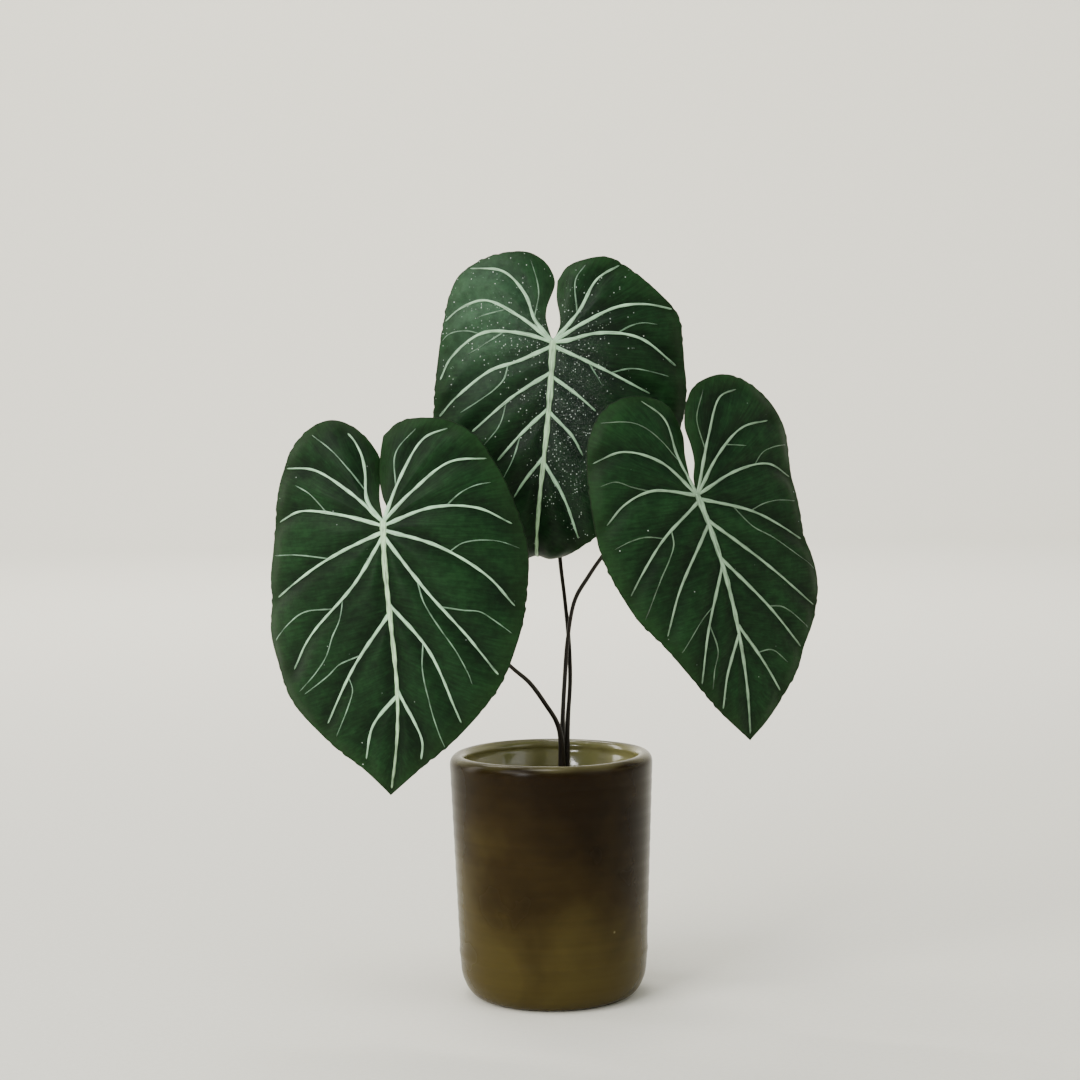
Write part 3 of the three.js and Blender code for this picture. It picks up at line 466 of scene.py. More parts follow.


# ---- Blades ----
# Three heart-shaped leaves, each a thin firm sheet with a puffed panel between every two
# veins, a paler ribbed underside and a thin dark line of painted shade along the margin.
# They face the window.
#
# A leaf lies on a sheet with flat coordinates: the first across, the second along the
# midrib, from the tip (negative) past the stalk at 0,0 to the lobes (positive).
#   tilt, yaw, lean   turns in degrees; curl is the change of lean per millimetre above the
#                     stalk, below it and below fold_at
#   arch, droop       radius of each half's backward arch, extra fall at the margin
#   sinus_dip         how far the left and right margins beside the sinus dip backward
#   bow, bow_at       sideways bow of the midrib and where on its length it is largest
#   sinus, rim        margin of each half: stalk to lobe, then round the lobe to the tip
#   veins, branches   each from the midrib, or from the nearest vein, outward
#   wet, vein_shade, bold  share of dew, of painted shade that greys the veins, and
#                     how broad the veins are
LEAVES = [{
    "name": "top", "at": (2, -8, 177), "tilt": -3.5, "yaw": 2, "lean": 2,
    "curl": (0.55, 0.16, 6.5), "fold_at": -49.8, "arch": 110, "droop": 2,
    "sinus_dip": (2, 2.5), "bow": -1.8, "bow_at": 0.73, "length": 69,
    "wet": 1.0, "vein_shade": 0.3, "bold": 0.95,
    "left": {
        "sinus": [(-2, 5.5), (-2, 9), (0, 16)],
        "rim": [(-0.5, 18.5), (-2.5, 21.5), (-7, 24), (-12.5, 24), (-20, 22), (-25.5, 18),
                (-28, 12), (-30, 0), (-31, -17), (-31, -28), (-28, -38.5), (-22.5, -47.5),
                (-14, -57), (-6, -65), (0, -69)],
        "veins": [
            [(0, 0), (-5, 5.5), (-8, 12.5), (-14, 18.5), (-23, 19.5)],
            [(0, 0), (-9.5, 6.5), (-18.5, 10.5), (-24.5, 8.5), (-29, 4.5)],
            [(0, 0), (-9.5, 2), (-19, 1.5), (-27, -5.5), (-29.5, -11.5)],
            [(0, -1), (-9, -5.5), (-16.5, -8.5), (-25.5, -16.5), (-29.5, -21.5)],
            [(0, -8), (-10, -15), (-20.5, -25)],
            [(0, -17.5), (-7.5, -25), (-13.5, -32.5)],
            [(0, -30.5), (-6, -37.5), (-8.5, -42)]],
        "branches": [
            [(-5, 6), (-4.5, 13), (-7, 22)],
            [(-13, 7.5), (-16.5, 7), (-20.5, 5.5)],
            [(-19.5, 1.5), (-23, 2), (-27.5, 1), (-29.5, -1)],
            [(-13, 0.5), (-19.5, -2.5), (-22.5, -4.5)],
            [(-11.5, -7), (-12.5, -10.5), (-15, -13.5), (-18, -16), (-23.5, -20)],
            [(-11.5, -16.5), (-13, -22.5), (-17, -28.5)],
            [(-7.5, -25), (-9, -31), (-11.5, -37)]]},
    "right": {
        "sinus": [(1.5, 4), (1.5, 7), (0.5, 12)],
        "rim": [(0.5, 17), (3, 21), (7.5, 23), (14, 24), (21.5, 20.5), (28.5, 15.5), (33.5, 10.5),
                (35.5, 2), (37, -12), (36, -22), (32, -32), (27, -41), (20.5, -47.5), (14, -52),
                (8.5, -57.5), (0, -69)],
        "veins": [
            [(0, 0), (6.5, 8.5), (11, 17.5), (17, 22)],
            [(0, 0), (8, 5.5), (17, 10.5), (25, 12), (32, 11.5)],
            [(0, 0), (3.5, 0.5), (12, 3), (23, 2.5), (34, -4.5)],
            [(0, -1), (12.5, -6), (27, -12.5)],
            [(0, -9), (7.5, -14), (12.5, -18)],
            [(0, -18.5), (6.5, -25), (9.5, -30)],
            [(0, -32), (5, -41.5), (9.5, -52.5)]],
        "branches": [
            [(6, 8), (5.5, 17), (8, 21.5)],
            [(17, 3), (20.5, 5.5), (23.5, 6.5), (27.5, 6.5)],
            [(16, -7), (21, -6), (26.5, -6.5), (31.5, -7.5)],
            [(9.5, -5), (12, -8.5), (13.5, -11)]]}
}, {
    "name": "left", "at": (-42.6, -28, 130.6), "tilt": -1, "yaw": -12, "lean": 3,
    "curl": (0.5, 0.22, 0.5), "fold_at": -55, "arch": 95, "droop": 2.5,
    "sinus_dip": (6, 1.5), "bow": 3.4, "bow_at": 0.63, "length": 73,
    "wet": 0.0, "vein_shade": 0.0, "bold": 0.86,
    "left": {
        "sinus": [(-0.5, 2.5), (-1.5, 6.5), (-2, 11.5), (-2, 15.5)],
        "rim": [(-3, 18.5), (-5.5, 22), (-10, 25.5), (-15.5, 27), (-21, 25.5), (-26, 21.5),
                (-29, 16), (-31.5, 0), (-33.5, -22), (-33.8, -31), (-31.5, -41.5), (-25.8, -51.3),
                (-14.8, -60), (-5, -67.5), (0, -73)],
        "veins": [
            [(0, 0), (-4.5, 5.5), (-5.9, 13.5), (-6.9, 17.5), (-9.1, 21.5), (-11, 23.5)],
            [(0, 0), (-8.5, 7), (-19.5, 13.5), (-28.5, 14.5)],
            [(0, -1), (-10.5, 1.5), (-23.5, 2.5), (-30, -0.5)],
            [(0, -2.5), (-11.5, -8), (-20, -13), (-31, -21)],
            [(0, -3.5), (-7.5, -16), (-21, -31), (-26.5, -40.5)],
            [(0, -23.5), (-8.5, -38.5), (-16.5, -54)],
            [(0, -45), (-3.5, -53.5), (-6, -63)]],
        "branches": [
            [(-6, 8), (-14, 18), (-20.5, 23)],
            [(-15, -9.5), (-23.5, -9), (-31.5, -9.5)],
            [(-14.5, -22), (-21.5, -24), (-26.5, -27.5), (-31.5, -33)],
            [(-10.5, -20.5), (-11.5, -25.5), (-13.5, -30), (-15.5, -35.5), (-19, -40.5),
             (-24, -46)],
            [(-7, -34), (-12, -37.5), (-15, -40.5), (-22.5, -46.5)],
            [(-9.5, -41), (-8.5, -44), (-10, -49), (-13.5, -57)],
            [(-15.5, 3.5), (-20, 7), (-24.5, 9.5)]]},
    "right": {
        "sinus": [(1, 3), (-0.5, 6.5), (-2, 12.5), (-2, 18.5)],
        "rim": [(-1.5, 23), (3, 26.5), (10, 27.5), (16.5, 27), (23, 23.5), (28, 16.5), (32.5, 7),
                (35.5, -3), (36.4, -13), (35.4, -25.5), (31, -40.5), (25.5, -49), (16.5, -58.5),
                (7, -66.5), (0, -73)],
        "veins": [
            [(0, 0), (5, 13.5), (10, 22), (16, 25)],
            [(0, 0), (7.5, 8), (17, 16), (26, 17.5)],
            [(0, -1), (13, 4), (24.5, 4), (32.5, 0)],
            [(0, -2), (14.5, -6), (26.5, -13.5), (33.5, -22)],
            [(0, -3.5), (11.5, -17.5), (22, -29.5), (29.5, -40)],
            [(0, -21), (12, -33), (20, -52.5)],
            [(0, -43.5), (9.5, -57), (9, -62.5)]],
        "branches": [
            [(3, 8.5), (3, 18), (8, 24.5)],
            [(16.5, 4.5), (20, 8), (23.5, 10), (27, 11)],
            [(17.5, -7), (21, -5), (28.5, -4.5), (34, -6.5)],
            [(15, -22), (21, -22.5), (25, -23), (28.5, -25.5), (32.5, -29)],
            [(9, -14.5), (11, -20.5), (15, -27), (19, -33), (22, -39), (23, -42)],
            [(10, -31.5), (10.5, -38), (12, -46), (13, -50.5), (15.5, -59)]]}
}, {
    "name": "right", "at": (38.9, -22, 136.2), "tilt": 14.7, "yaw": 20, "lean": 3,
    "curl": (0.5, 0.2, 0.6), "fold_at": -50, "arch": 90, "droop": 2.5,
    "sinus_dip": (2.5, 1), "bow": 2.3, "bow_at": 0.46, "length": 69,
    "wet": 0.0, "vein_shade": 1.0, "bold": 0.8,
    "left": {
        "sinus": [(-0.5, 3), (0, 6.5), (1, 11), (2.5, 15.5)],
        "rim": [(2.5, 19.5), (1, 25), (-5, 29), (-12, 30), (-18, 28), (-23, 22.5), (-25.5, 16),
                (-27.5, 4), (-28, -7.5), (-26.3, -17.5), (-23, -28), (-18, -37), (-13.3, -46.5),
                (-8, -57), (0, -69)],
        "veins": [
            [(0, 0), (-1.5, 11), (-1.5, 21.5), (-6.5, 28)],
            [(0, 0), (-7, 11), (-16, 16.5), (-24, 16)],
            [(0, 0), (-12, 4.5), (-19.5, 3), (-25, -1)],
            [(0, -1.5), (-12, -8.5), (-20, -16.5), (-23.5, -21)],
            [(0, -8), (-11, -22.5), (-17, -34)],
            [(0, -19.5), (-6, -35), (-11, -49)],
            [(0, -38.5), (-3.5, -48.5), (-6.5, -57.5)]],
        "branches": [
            [(-2, 10), (-10, 22), (-19, 25.5)],
            [(-12, 4.5), (-16.5, 7), (-20, 9.5), (-24, 9.5)],
            [(-12, -8), (-16.5, -6.5), (-20.5, -6.5), (-24.5, -7.5)],
            [(-9, -7.5), (-10, -10.5), (-12.5, -14.5), (-15.5, -18.5), (-21.5, -28)],
            [(-4, -29), (-7.5, -32), (-14.5, -39)],
            [(-5, -34), (-5, -41), (-7, -46), (-8.5, -51)]]},
    "right": {
        "sinus": [(0.5, 4.5), (2, 8.5), (2.5, 13), (2.5, 18)],
        "rim": [(4.5, 23.5), (8.5, 27.5), (14.5, 29), (20, 28.5), (25.5, 25.5), (30.5, 19),
                (33, 10), (31.5, -0.5), (29.5, -15.5), (30, -25.5), (30, -35.5), (24, -45),
                (17.5, -53.5), (11, -60.5), (0, -69)],
        "veins": [
            [(0, 0), (8, 14), (15, 23), (21, 24)],
            [(0, 0), (9, 8.5), (18.5, 13.5), (28, 13.5)],
            [(0, 0), (12.5, 3), (23.5, 2), (30, -3.5)],
            [(0, -1), (15, -9), (28, -20.5)],
            [(0, -7), (14, -22.5), (27, -39)],
            [(0, -17.5), (12.5, -34.5), (20, -48.5)],
            [(0, -36), (7, -47), (11, -58)]],
        "branches": [
            [(6, 10.5), (6, 19), (10.5, 26)],
            [(12, 10.5), (17.5, 8.5)],
            [(19, 2.5), (22, 5.5), (25.5, 6), (31, 5.5)],
            [(14, -8), (18, -7.5), (22.5, -8), (28.5, -10)],
            [(9, -5.5), (12.5, -12), (17.5, -16.5), (29.5, -29.5)],
            [(12.5, -34), (16, -35.5), (23, -44)],
            [(7, -45), (10, -45.5), (14, -50.5)]]}
}]
BLADE_THICKNESS = 0.6
MARGIN_ROUND = 0.35
VALLEY_SLOPE = 0.1
VALLEY_REACH = 12
VALLEY_SOFTNESS = 1.5
HALF_WIDTH = 33
SINUS_REACH = 6
SINUS_START = 1
SINUS_FULL = 15
LOBE_SHARE = 10 / 26
FADE_SHARE = 7 / 26
LAST_ROW_START = 0.88
PUFF = 1.15
PUFF_WIDTH = 2.7
RUFFLE = 0.25
NIBBLE = (0.13, 0.09)
STRAND_STEP = 0.45
STRAND_SIDES = 12
STRAND_BLUNT = 1.1
STRAND_DEPTH = 0.25
WAVER = (0.12, 0.09)
RIB_WIDTH = {True: (2.2, 0.9), False: (1.1, 0.4)}  # of the midrib's and the other ribs
RIB_HEIGHT = {True: (0.8, 0.3), False: (0.35, 0.12)}


def smooth_line(points, fractions):
    """A centripetal Catmull-Rom curve, read off at fractions of its length.

    Each span is the cubic between two points whose end slopes come from the neighbouring
    chords, with the knots apart by the square root of the chord.
    """
    p = np.asarray(points, float)
    p = np.vstack([2 * p[0] - p[1], p, 2 * p[-1] - p[-2]])
    knot = np.sqrt(np.linalg.norm(np.diff(p, axis=0), axis=1))[:, None]
    a, b, c, d = p[:-3], p[1:-2], p[2:-1], p[3:]
    before, here, after = knot[:-2], knot[1:-1], knot[2:]
    start = here * ((b - a) / before - (c - a) / (before + here) + (c - b) / here)
    finish = here * ((c - b) / here - (d - b) / (here + after) + (d - c) / after)
    u = np.linspace(0, 1, 60, endpoint=False)[None, :, None]
    line = ((2 * u ** 3 - 3 * u ** 2 + 1) * b[:, None] + (u ** 3 - 2 * u ** 2 + u) * start[:, None]
            + (3 * u ** 2 - 2 * u ** 3) * c[:, None] + (u ** 3 - u ** 2) * finish[:, None])
    line = np.vstack([line.reshape(-1, p.shape[1]), p[-2]])
    run = np.concatenate([[0], np.cumsum(np.linalg.norm(np.diff(line, axis=0), axis=1))])
    return np.stack([np.interp(np.asarray(fractions) * run[-1], run, k) for k in line.T], -1)


def ease(value):
    """3 x squared less 2 x cubed, with x held between 0 and 1."""
    value = np.clip(value, 0, 1)
    return value * value * (3 - 2 * value)


def midrib_across(leaf, along):
    """bow times sin(pi d**p): d is the fraction of the way to the tip, and p puts the
    largest bow at bow_at."""
    down = np.clip(-along / leaf["length"], 0, 1)
    return leaf["bow"] * np.sin(np.pi * down ** (np.log(0.5) / np.log(leaf["bow_at"])))


def blade_rise(leaf, across, along, side):
    """Rise over the backbone: valley - reach**2 / 2 arch - droop (reach / half width)**4
    - the dip beside the sinus, where reach is the distance from the midrib."""
    offset = across - midrib_across(leaf, along)
    reach = np.abs(offset)
    valley = VALLEY_SLOPE * (np.hypot(reach, VALLEY_SOFTNESS) - VALLEY_SOFTNESS)
    valley = valley * np.exp(-reach / VALLEY_REACH)
    dip = leaf["sinus_dip"][0 if side < 0 else 1]
    dip = dip * ease((along - SINUS_START) / (SINUS_FULL - SINUS_START))
    dip = dip * np.exp(-np.maximum(side * offset, -SINUS_REACH / 2) / SINUS_REACH)
    droop = leaf["droop"] * (reach / HALF_WIDTH) ** 4
    return valley - reach ** 2 / (2 * leaf["arch"]) - droop - dip


def backbone_arc(lean, curl, run):
    """Depth, height and lean at the end of an arc: the integrals of sin and cos of a lean
    that grows by curl per millimetre."""
    end = lean + curl * run
    return (np.cos(lean) - np.cos(end)) / curl, (np.sin(end) - np.sin(lean)) / curl, end


def blade_sheet(leaf, across, along, side):
    """Place in space of flat points: three arcs for the backbone, the rise square to it,
    then the turns about Y and Z and the leaf's place."""
    above, below, tip = np.radians(leaf["curl"])
    lean, fold = np.radians(leaf["lean"]), leaf["fold_at"]
    upper = backbone_arc(lean, above, np.maximum(along, 0))
    lower = backbone_arc(lean, below, np.clip(along, fold, 0))
    last = backbone_arc(lean + below * fold, tip, np.minimum(along - fold, 0))
    here = np.where(along >= 0, upper[2], np.where(along >= fold, lower[2], last[2]))
    rise = blade_rise(leaf, across, along, side)
    y = upper[0] + lower[0] + last[0] - rise * np.cos(here)
    z = upper[1] + lower[1] + last[1] + rise * np.sin(here)
    tilt, yaw = np.radians(leaf["tilt"]), np.radians(leaf["yaw"])
    x = across * np.cos(tilt) - z * np.sin(tilt)
    z = across * np.sin(tilt) + z * np.cos(tilt)
    return np.stack([x * np.cos(yaw) - y * np.sin(yaw), x * np.sin(yaw) + y * np.cos(yaw), z],
                    -1) + leaf["at"]


def blade_place(leaf, across, along, side, lift):
    """The sheet's point moved by lift along its normal, which is the cross product of the
    central differences over across and along."""
    step = 0.05
    over_across = (blade_sheet(leaf, across + step, along, side)
                   - blade_sheet(leaf, across - step, along, side))
    over_along = (blade_sheet(leaf, across, along + step, side)
                  - blade_sheet(leaf, across, along - step, side))
    normal = np.cross(over_across, over_along)
    normal = normal / np.linalg.norm(normal, axis=-1, keepdims=True)
    return blade_sheet(leaf, across, along, side) + normal * np.asarray(lift)[..., None]


def half_name(side):
    return "left" if side < 0 else "right"


def midrib_line(leaf):
    along = np.linspace(0.8, 2 - leaf["length"], 9)
    return np.stack([midrib_across(leaf, along), along], -1)


def primary_lines(leaf, side):
    """The primaries of one half, each with its first point moved onto the midrib."""
    lines = []
    for vein in leaf[half_name(side)]["veins"]:
        line = np.array(vein, float)
        line[0, 0] = midrib_across(leaf, line[0, 1])
        lines.append(line)
    return lines


def line_distance(lines, across, along):
    """Distance in the flat leaf to the nearest of 140 points on each line."""
    nearest = np.full(np.shape(across), 99.0)
    for line in lines:
        for x, y in smooth_line(line, np.linspace(0, 1, 140)):
            nearest = np.minimum(nearest, np.hypot(across - x, along - y))
    return nearest


def blade_swell(leaf, side, across, along):
    """Lift of the skin over the plain sheet, the same for the blade and its veins.

    Panels stand up by puff (1 - exp(-(distance to a vein / width)**2)), and by a third of
    that at the margin. The ruffle is a sine of the direction from the middle of the blade
    that fades as exp(-distance to the margin / 5). Also returns the panel's share.
    """
    half = leaf[half_name(side)]
    to_vein = line_distance([midrib_line(leaf), *primary_lines(leaf, side)], across, along)
    sinus = [(0, 0), *half["sinus"], half["rim"][0]]
    to_margin = line_distance([half["rim"], sinus], across, along)
    panel = 1 - np.exp(-(to_vein / PUFF_WIDTH) ** 2)
    ruffle = RUFFLE * np.sin(13 * np.arctan2(across, -25 - along) + leaf["yaw"])
    lift = PUFF * panel * (0.3 + 0.7 * ease(to_margin / 4)) + ruffle * np.exp(-to_margin / 5)
    return lift, panel


def half_blade(leaf, side):
    """One half in flat rows, from the midrib out to the margin.

    Row s joins a point of the midrib to a point of the rim by a straight line. The first
    rows fan out from the stalk and bend into the sinus curve, and the last ones bend into
    the end of the midrib, both by the square of a fraction that fades over FADE_SHARE.
    The margin is nibbled by two sines of s along the row.
    Returns the flat points, s, t and the distance to the margin.
    """
    half = leaf[half_name(side)]
    s = np.concatenate([[0, 0.0007, 0.0018, 0.0035, 0.006], np.linspace(0.01, 1, 190)])[:, None]
    t = np.concatenate([np.linspace(0, 0.95, 48), 1 - np.array(
        [0.036, 0.024, 0.014, 0.008, 0.004, 0.0015, 0.0004, 0])])[None, :]
    down = np.maximum(0, (s - LOBE_SHARE) / (1 - LOBE_SHARE))
    root_along = -LAST_ROW_START * leaf["length"] * down
    root = np.stack([midrib_across(leaf, root_along), root_along], -1)
    end = smooth_line(half["rim"], s)
    outward = (end - root) / np.linalg.norm(end - root, axis=-1, keepdims=True)
    nibble = NIBBLE[0] * np.sin(230 * s + side) + NIBBLE[1] * np.sin(410 * s + 2 * leaf["tilt"])
    nibble = nibble * (0.5 + 0.5 * np.sin(37 * s + leaf["yaw"]))
    nibble = nibble * ease(25 * s) * ease(25 * (1 - s))
    end = end + outward * nibble[..., None]
    near_sinus = np.maximum(0, 1 - s / FADE_SHARE)[..., None] ** 2
    near_tip = np.maximum(0, 1 - (1 - s) / FADE_SHARE) ** 2
    flat = root * (1 - t[..., None]) + end * t[..., None]
    top = np.array(half["rim"][0], float)
    sinus = smooth_line([(0, 0), *half["sinus"], half["rim"][0]], t)
    flat = flat + near_sinus * (sinus - top * t[..., None])
    tip_along = -leaf["length"] * (LAST_ROW_START + (1 - LAST_ROW_START) * t)
    chord = midrib_across(leaf, -leaf["length"] * LAST_ROW_START) * (1 - t)
    flat[..., 0] += near_tip * (midrib_across(leaf, tip_along) - chord)
    to_rim = (1 - t) * np.linalg.norm(end - root, axis=-1)
    to_sinus = np.linalg.norm(flat - flat[:1], axis=-1)
    return flat, s + 0 * t, t + 0 * s, np.minimum(to_rim, to_sinus)


def blade_arrays(leaf):
    """Both halves, front and back.

    The front and back stand half a thickness off the middle of the sheet, and meet at the
    margin in a half circle: sqrt(1 - (1 - distance / round)**2). Both carry the swell.
    Dew lies on the front alone, as Gaussians of the flat place beside the midrib, and a
    painted sheen as one over the left lobe.
    """
    points, uv, faces, margin, panel, wet, painted_sheen, under = [], [], [], [], [], [], [], []
    for side in (-1, 1):
        flat, s, t, edge = half_blade(leaf, side)
        across, along = flat[..., 0], flat[..., 1]
        swell, raised = blade_swell(leaf, side, across, along)
        round_off = np.sqrt(1 - (1 - np.minimum(edge / MARGIN_ROUND, 1)) ** 2)
        half_sheet = BLADE_THICKNESS / 2 * round_off
        for face in (1, -1):
            lift = swell - BLADE_THICKNESS / 2 + face * half_sheet
            faces.append(grid_faces(*s.shape, first=sum(map(len, points))))
            points.append(blade_place(leaf, across, along, side, lift).reshape(-1, 3))
            uv.append(np.stack([s * 0.5 + (side > 0) * 0.5, t], -1).reshape(-1, 2))
            margin.append(edge.ravel())
            panel.append(raised.ravel())
            damp = np.exp(-((across - 6) / 10) ** 2 - ((along + 18) / 24) ** 2)
            damp = damp + 0.5 * np.exp(-((across + 9) / 7) ** 2 - ((along - 1) / 6) ** 2)
            lobe = np.exp(-((across + 19) / 12) ** 2 - ((along - 8) / 17) ** 2)
            share = leaf["wet"] * (face > 0)
            wet.append((share * np.minimum(damp + 0.3 * lobe, 1)).ravel())
            painted_sheen.append((share * lobe).ravel())
            under.append(np.full(len(faces[-1]), face < 0))
    return (np.concatenate(points), np.concatenate(faces), np.concatenate(uv),
            {"margin": np.concatenate(margin), "panel": np.concatenate(panel),
             "wet": np.concatenate(wet), "painted_sheen": np.concatenate(painted_sheen)},
            np.concatenate(under))


def strand_arrays(leaf, side, line, width, height, face=1):
    """A bead along a flat line: at v of its length and angle a round it, the place is the
    line's point plus w(v) cos a across it, at the lift h(v) sin a above the blade's swell
    and STRAND_DEPTH sin a below it, inside the sheet.

    w falls from the root's to the end's value and wavers by two sines of v; both w and h
    go to zero in a quarter circle at the end. Also returns UV, across and along, and how thick
    the pale colour lies.
    """
    chords = np.diff(smooth_line(line, np.linspace(0, 1, 50)), axis=0)
    length = np.linalg.norm(chords, axis=1).sum()
    steps = max(8, int(length / STRAND_STEP))
    v = np.linspace(0, 1, steps)
    centre = smooth_line(line, v)
    tangent = np.gradient(centre, axis=0)
    tangent = tangent / np.linalg.norm(tangent, axis=1, keepdims=True)
    blunt = STRAND_BLUNT / length
    taper = np.sqrt(1 - ease((v - 1 + blunt) / blunt) ** 2) * np.where(v > 0, 1, 0)
    phase = random.uniform(0, 2 * np.pi, 2)
    waver = WAVER[0] * np.sin(length * v / 1.7 + phase[0])
    waver = 1 + waver + WAVER[1] * np.sin(length * v / 0.7 + phase[1])
    half = leaf["bold"] * (width[0] + (width[1] - width[0]) * v) / 2 * taper * waver
    tall = (height[0] + (height[1] - height[0]) * v) * taper
    angle = np.linspace(0, 2 * np.pi, STRAND_SIDES, endpoint=False)[None, :]
    offset = half[:, None] * np.cos(angle)
    across = centre[:, :1] - offset * tangent[:, 1:]
    along = centre[:, 1:] + offset * tangent[:, :1]
    rise = np.where(np.sin(angle) > 0, tall[:, None] * np.abs(np.sin(angle)) ** 0.8,
                    STRAND_DEPTH * taper[:, None] * np.sin(angle))
    base = blade_swell(leaf, side, across, along)[0] - (face < 0) * BLADE_THICKNESS
    points = blade_place(leaf, across, along, side, base + face * rise)
    thick = (1 - 0.35 * ease((v - 0.7) / 0.3))[:, None] * np.clip(np.sin(angle) * 1.5, 0, 1) ** 0.8
    uv = np.stack([0.5 + 0.5 * np.cos(angle) + 0 * v[:, None],
                   (v * length / 100)[:, None] + 0 * angle], -1)
    faces = grid_faces(steps, STRAND_SIDES, closed=True)
    return points.reshape(-1, 3), faces, uv.reshape(-1, 2), thick.ravel()


# Living leaf, upper side: firm and satin, deep green, mottled, with painted shade in the
# grooves beside the veins and along the very edge, and yellower towards a thin dry margin.
# Fine streaks run with the veins. Where "wet" is high it is darker under a film of tiny beads
# that sparkle, with pale dots among them as painted glints, and a painted sheen pales the
# left lobe of the top leaf.
blade_upper, add = new_material("leaf_upper_satin")
lines = add("UVMap", uv_map="lines")
drawn = add("Mapping", {  # streaks about 0.6 mm apart, 6 mm long
    "Vector": lines, "Scale": (330.0, 5.5, 1.0)})
streak = add("TexNoise", {"Vector": drawn, "Scale": 1.0, "Detail": 3.0, "Roughness": 0.6})
mottle = add("TexNoise", {  # mottling about 2 mm across
    "Scale": 480.0, "Detail": 3.0, "Roughness": 0.65})
cloud = add("TexNoise", {  # paler and darker areas about 16 mm across
    "Scale": 62.0, "Detail": 2.0})
shade = add("Math", {0: streak, 1: 0.35, 2: 0.0}, operation="MULTIPLY_ADD")
shade = add("Math", {0: mottle, 1: 0.3, 2: shade}, operation="MULTIPLY_ADD")
shade = add("Math", {0: cloud, 1: 0.35, 2: shade}, operation="MULTIPLY_ADD")
panel = add("Attribute", attribute_name="panel")
# Painted shade: darker beside each vein, where the puffed panels dip into the grooves
groove_shade = add("MapRange", {"Value": panel, "From Max": 0.9, "To Min": -0.09, "To Max": 0.01})
shade = add("Math", {0: shade, 1: groove_shade}, operation="ADD")
green = add("ValToRGB", {"Fac": shade},
    stops=[(0.38, "081a0b"), (0.5, "102913"), (0.62, "18371b")])
edge = add("Attribute", attribute_name="margin")
young = add("MapRange", {
    "Value": edge, "From Min": 0.0, "From Max": 6.0, "To Min": 0.3, "To Max": 0.0})
yellowed = add("Mix", {0: young, 6: green, 7: linear("233c1b")}, data_type="RGBA")
wet = add("Attribute", attribute_name="wet")
soak = add("Math", {0: wet, 1: 0.5}, operation="MULTIPLY")
soaked = add("Mix", {0: soak, 6: yellowed, 7: linear("121f1c")}, data_type="RGBA")
painted_sheen = add("Attribute", attribute_name="painted_sheen")
sheen_patches = add("Math", {  # painted sheen, a paler green that breaks up with the mottling
    0: painted_sheen, 1: mottle}, operation="MULTIPLY")
soaked = add("Mix", {0: sheen_patches, 6: soaked, 7: linear("42654a")}, data_type="RGBA")
glint_cells = add("TexVoronoi", {  # painted glints, pale dots up to 0.3 mm, 0.5 mm apart
    "Scale": 1900.0})
chance = add("SeparateColor", {"Color": (glint_cells, "Color")})
patch = add("TexNoise", {  # thicker and thinner dew every 6 mm or so
    "Scale": 170.0, "Detail": 1.0})
patchy = add("MapRange", {
    "Value": patch, "From Min": 0.35, "From Max": 0.6, "To Min": 0.1, "To Max": 0.62})
spared = add("Math", {  # on most of the spots where the skin is wettest
    0: wet, 1: patchy, 2: (chance, "Red")}, operation="MULTIPLY_ADD")
chosen = add("Math", {0: spared, 1: 0.998}, operation="GREATER_THAN")
round_glint = add("MapRange", {
    "Value": glint_cells, "From Min": 0.12, "From Max": 0.36, "To Min": 1.0, "To Max": 0.0})
glint = add("Math", {0: (chance, "Green"), 1: chosen}, operation="MULTIPLY")
glint_dot = add("Math", {0: round_glint, 1: glint}, operation="MULTIPLY")
# Painted glints: pale dots where the skin is wettest
soaked = add("Mix", {0: glint_dot, 6: soaked, 7: linear("dcebe2")}, data_type="RGBA")
# Painted shade: a dark line along the very edge of the upper side, where the sheet turns over
rim = add("MapRange", {
    "Value": edge, "From Min": 0.08, "From Max": 0.45, "To Min": 0.8, "To Max": 0.0})
shaded_edge = add("Mix", {0: rim, 6: soaked, 7: linear("0d140b")}, data_type="RGBA")
beads = add("TexVoronoi", {  # beads about 0.5 mm
    "Scale": 1900.0, "Smoothness": 0.4}, feature="SMOOTH_F1")
bead = add("Math", {0: beads, 1: wet}, operation="MULTIPLY")
skin = add("TexNoise", {  # skin texture about 0.4 mm
    "Scale": 2600.0, "Detail": 2.0})
fine = add("Bump", {"Height": skin, "Strength": 0.35, "Distance": 0.0001})
combed = add("Bump", {"Height": streak, "Strength": 0.3, "Distance": 0.0001, "Normal": fine})
beaded = add("Bump", {"Height": bead, "Strength": 1.0, "Distance": -0.0009, "Normal": combed})
surface = add("BsdfPrincipled", {
    "Base Color": shaded_edge, "Roughness": 0.5, "Normal": combed,
    "IOR": 1.42, "Specular IOR Level": 0.12, "Coat Weight": wet,
    "Coat Roughness": 0.07, "Coat IOR": 1.3, "Coat Normal": beaded})
add("OutputMaterial", {"Surface": surface})

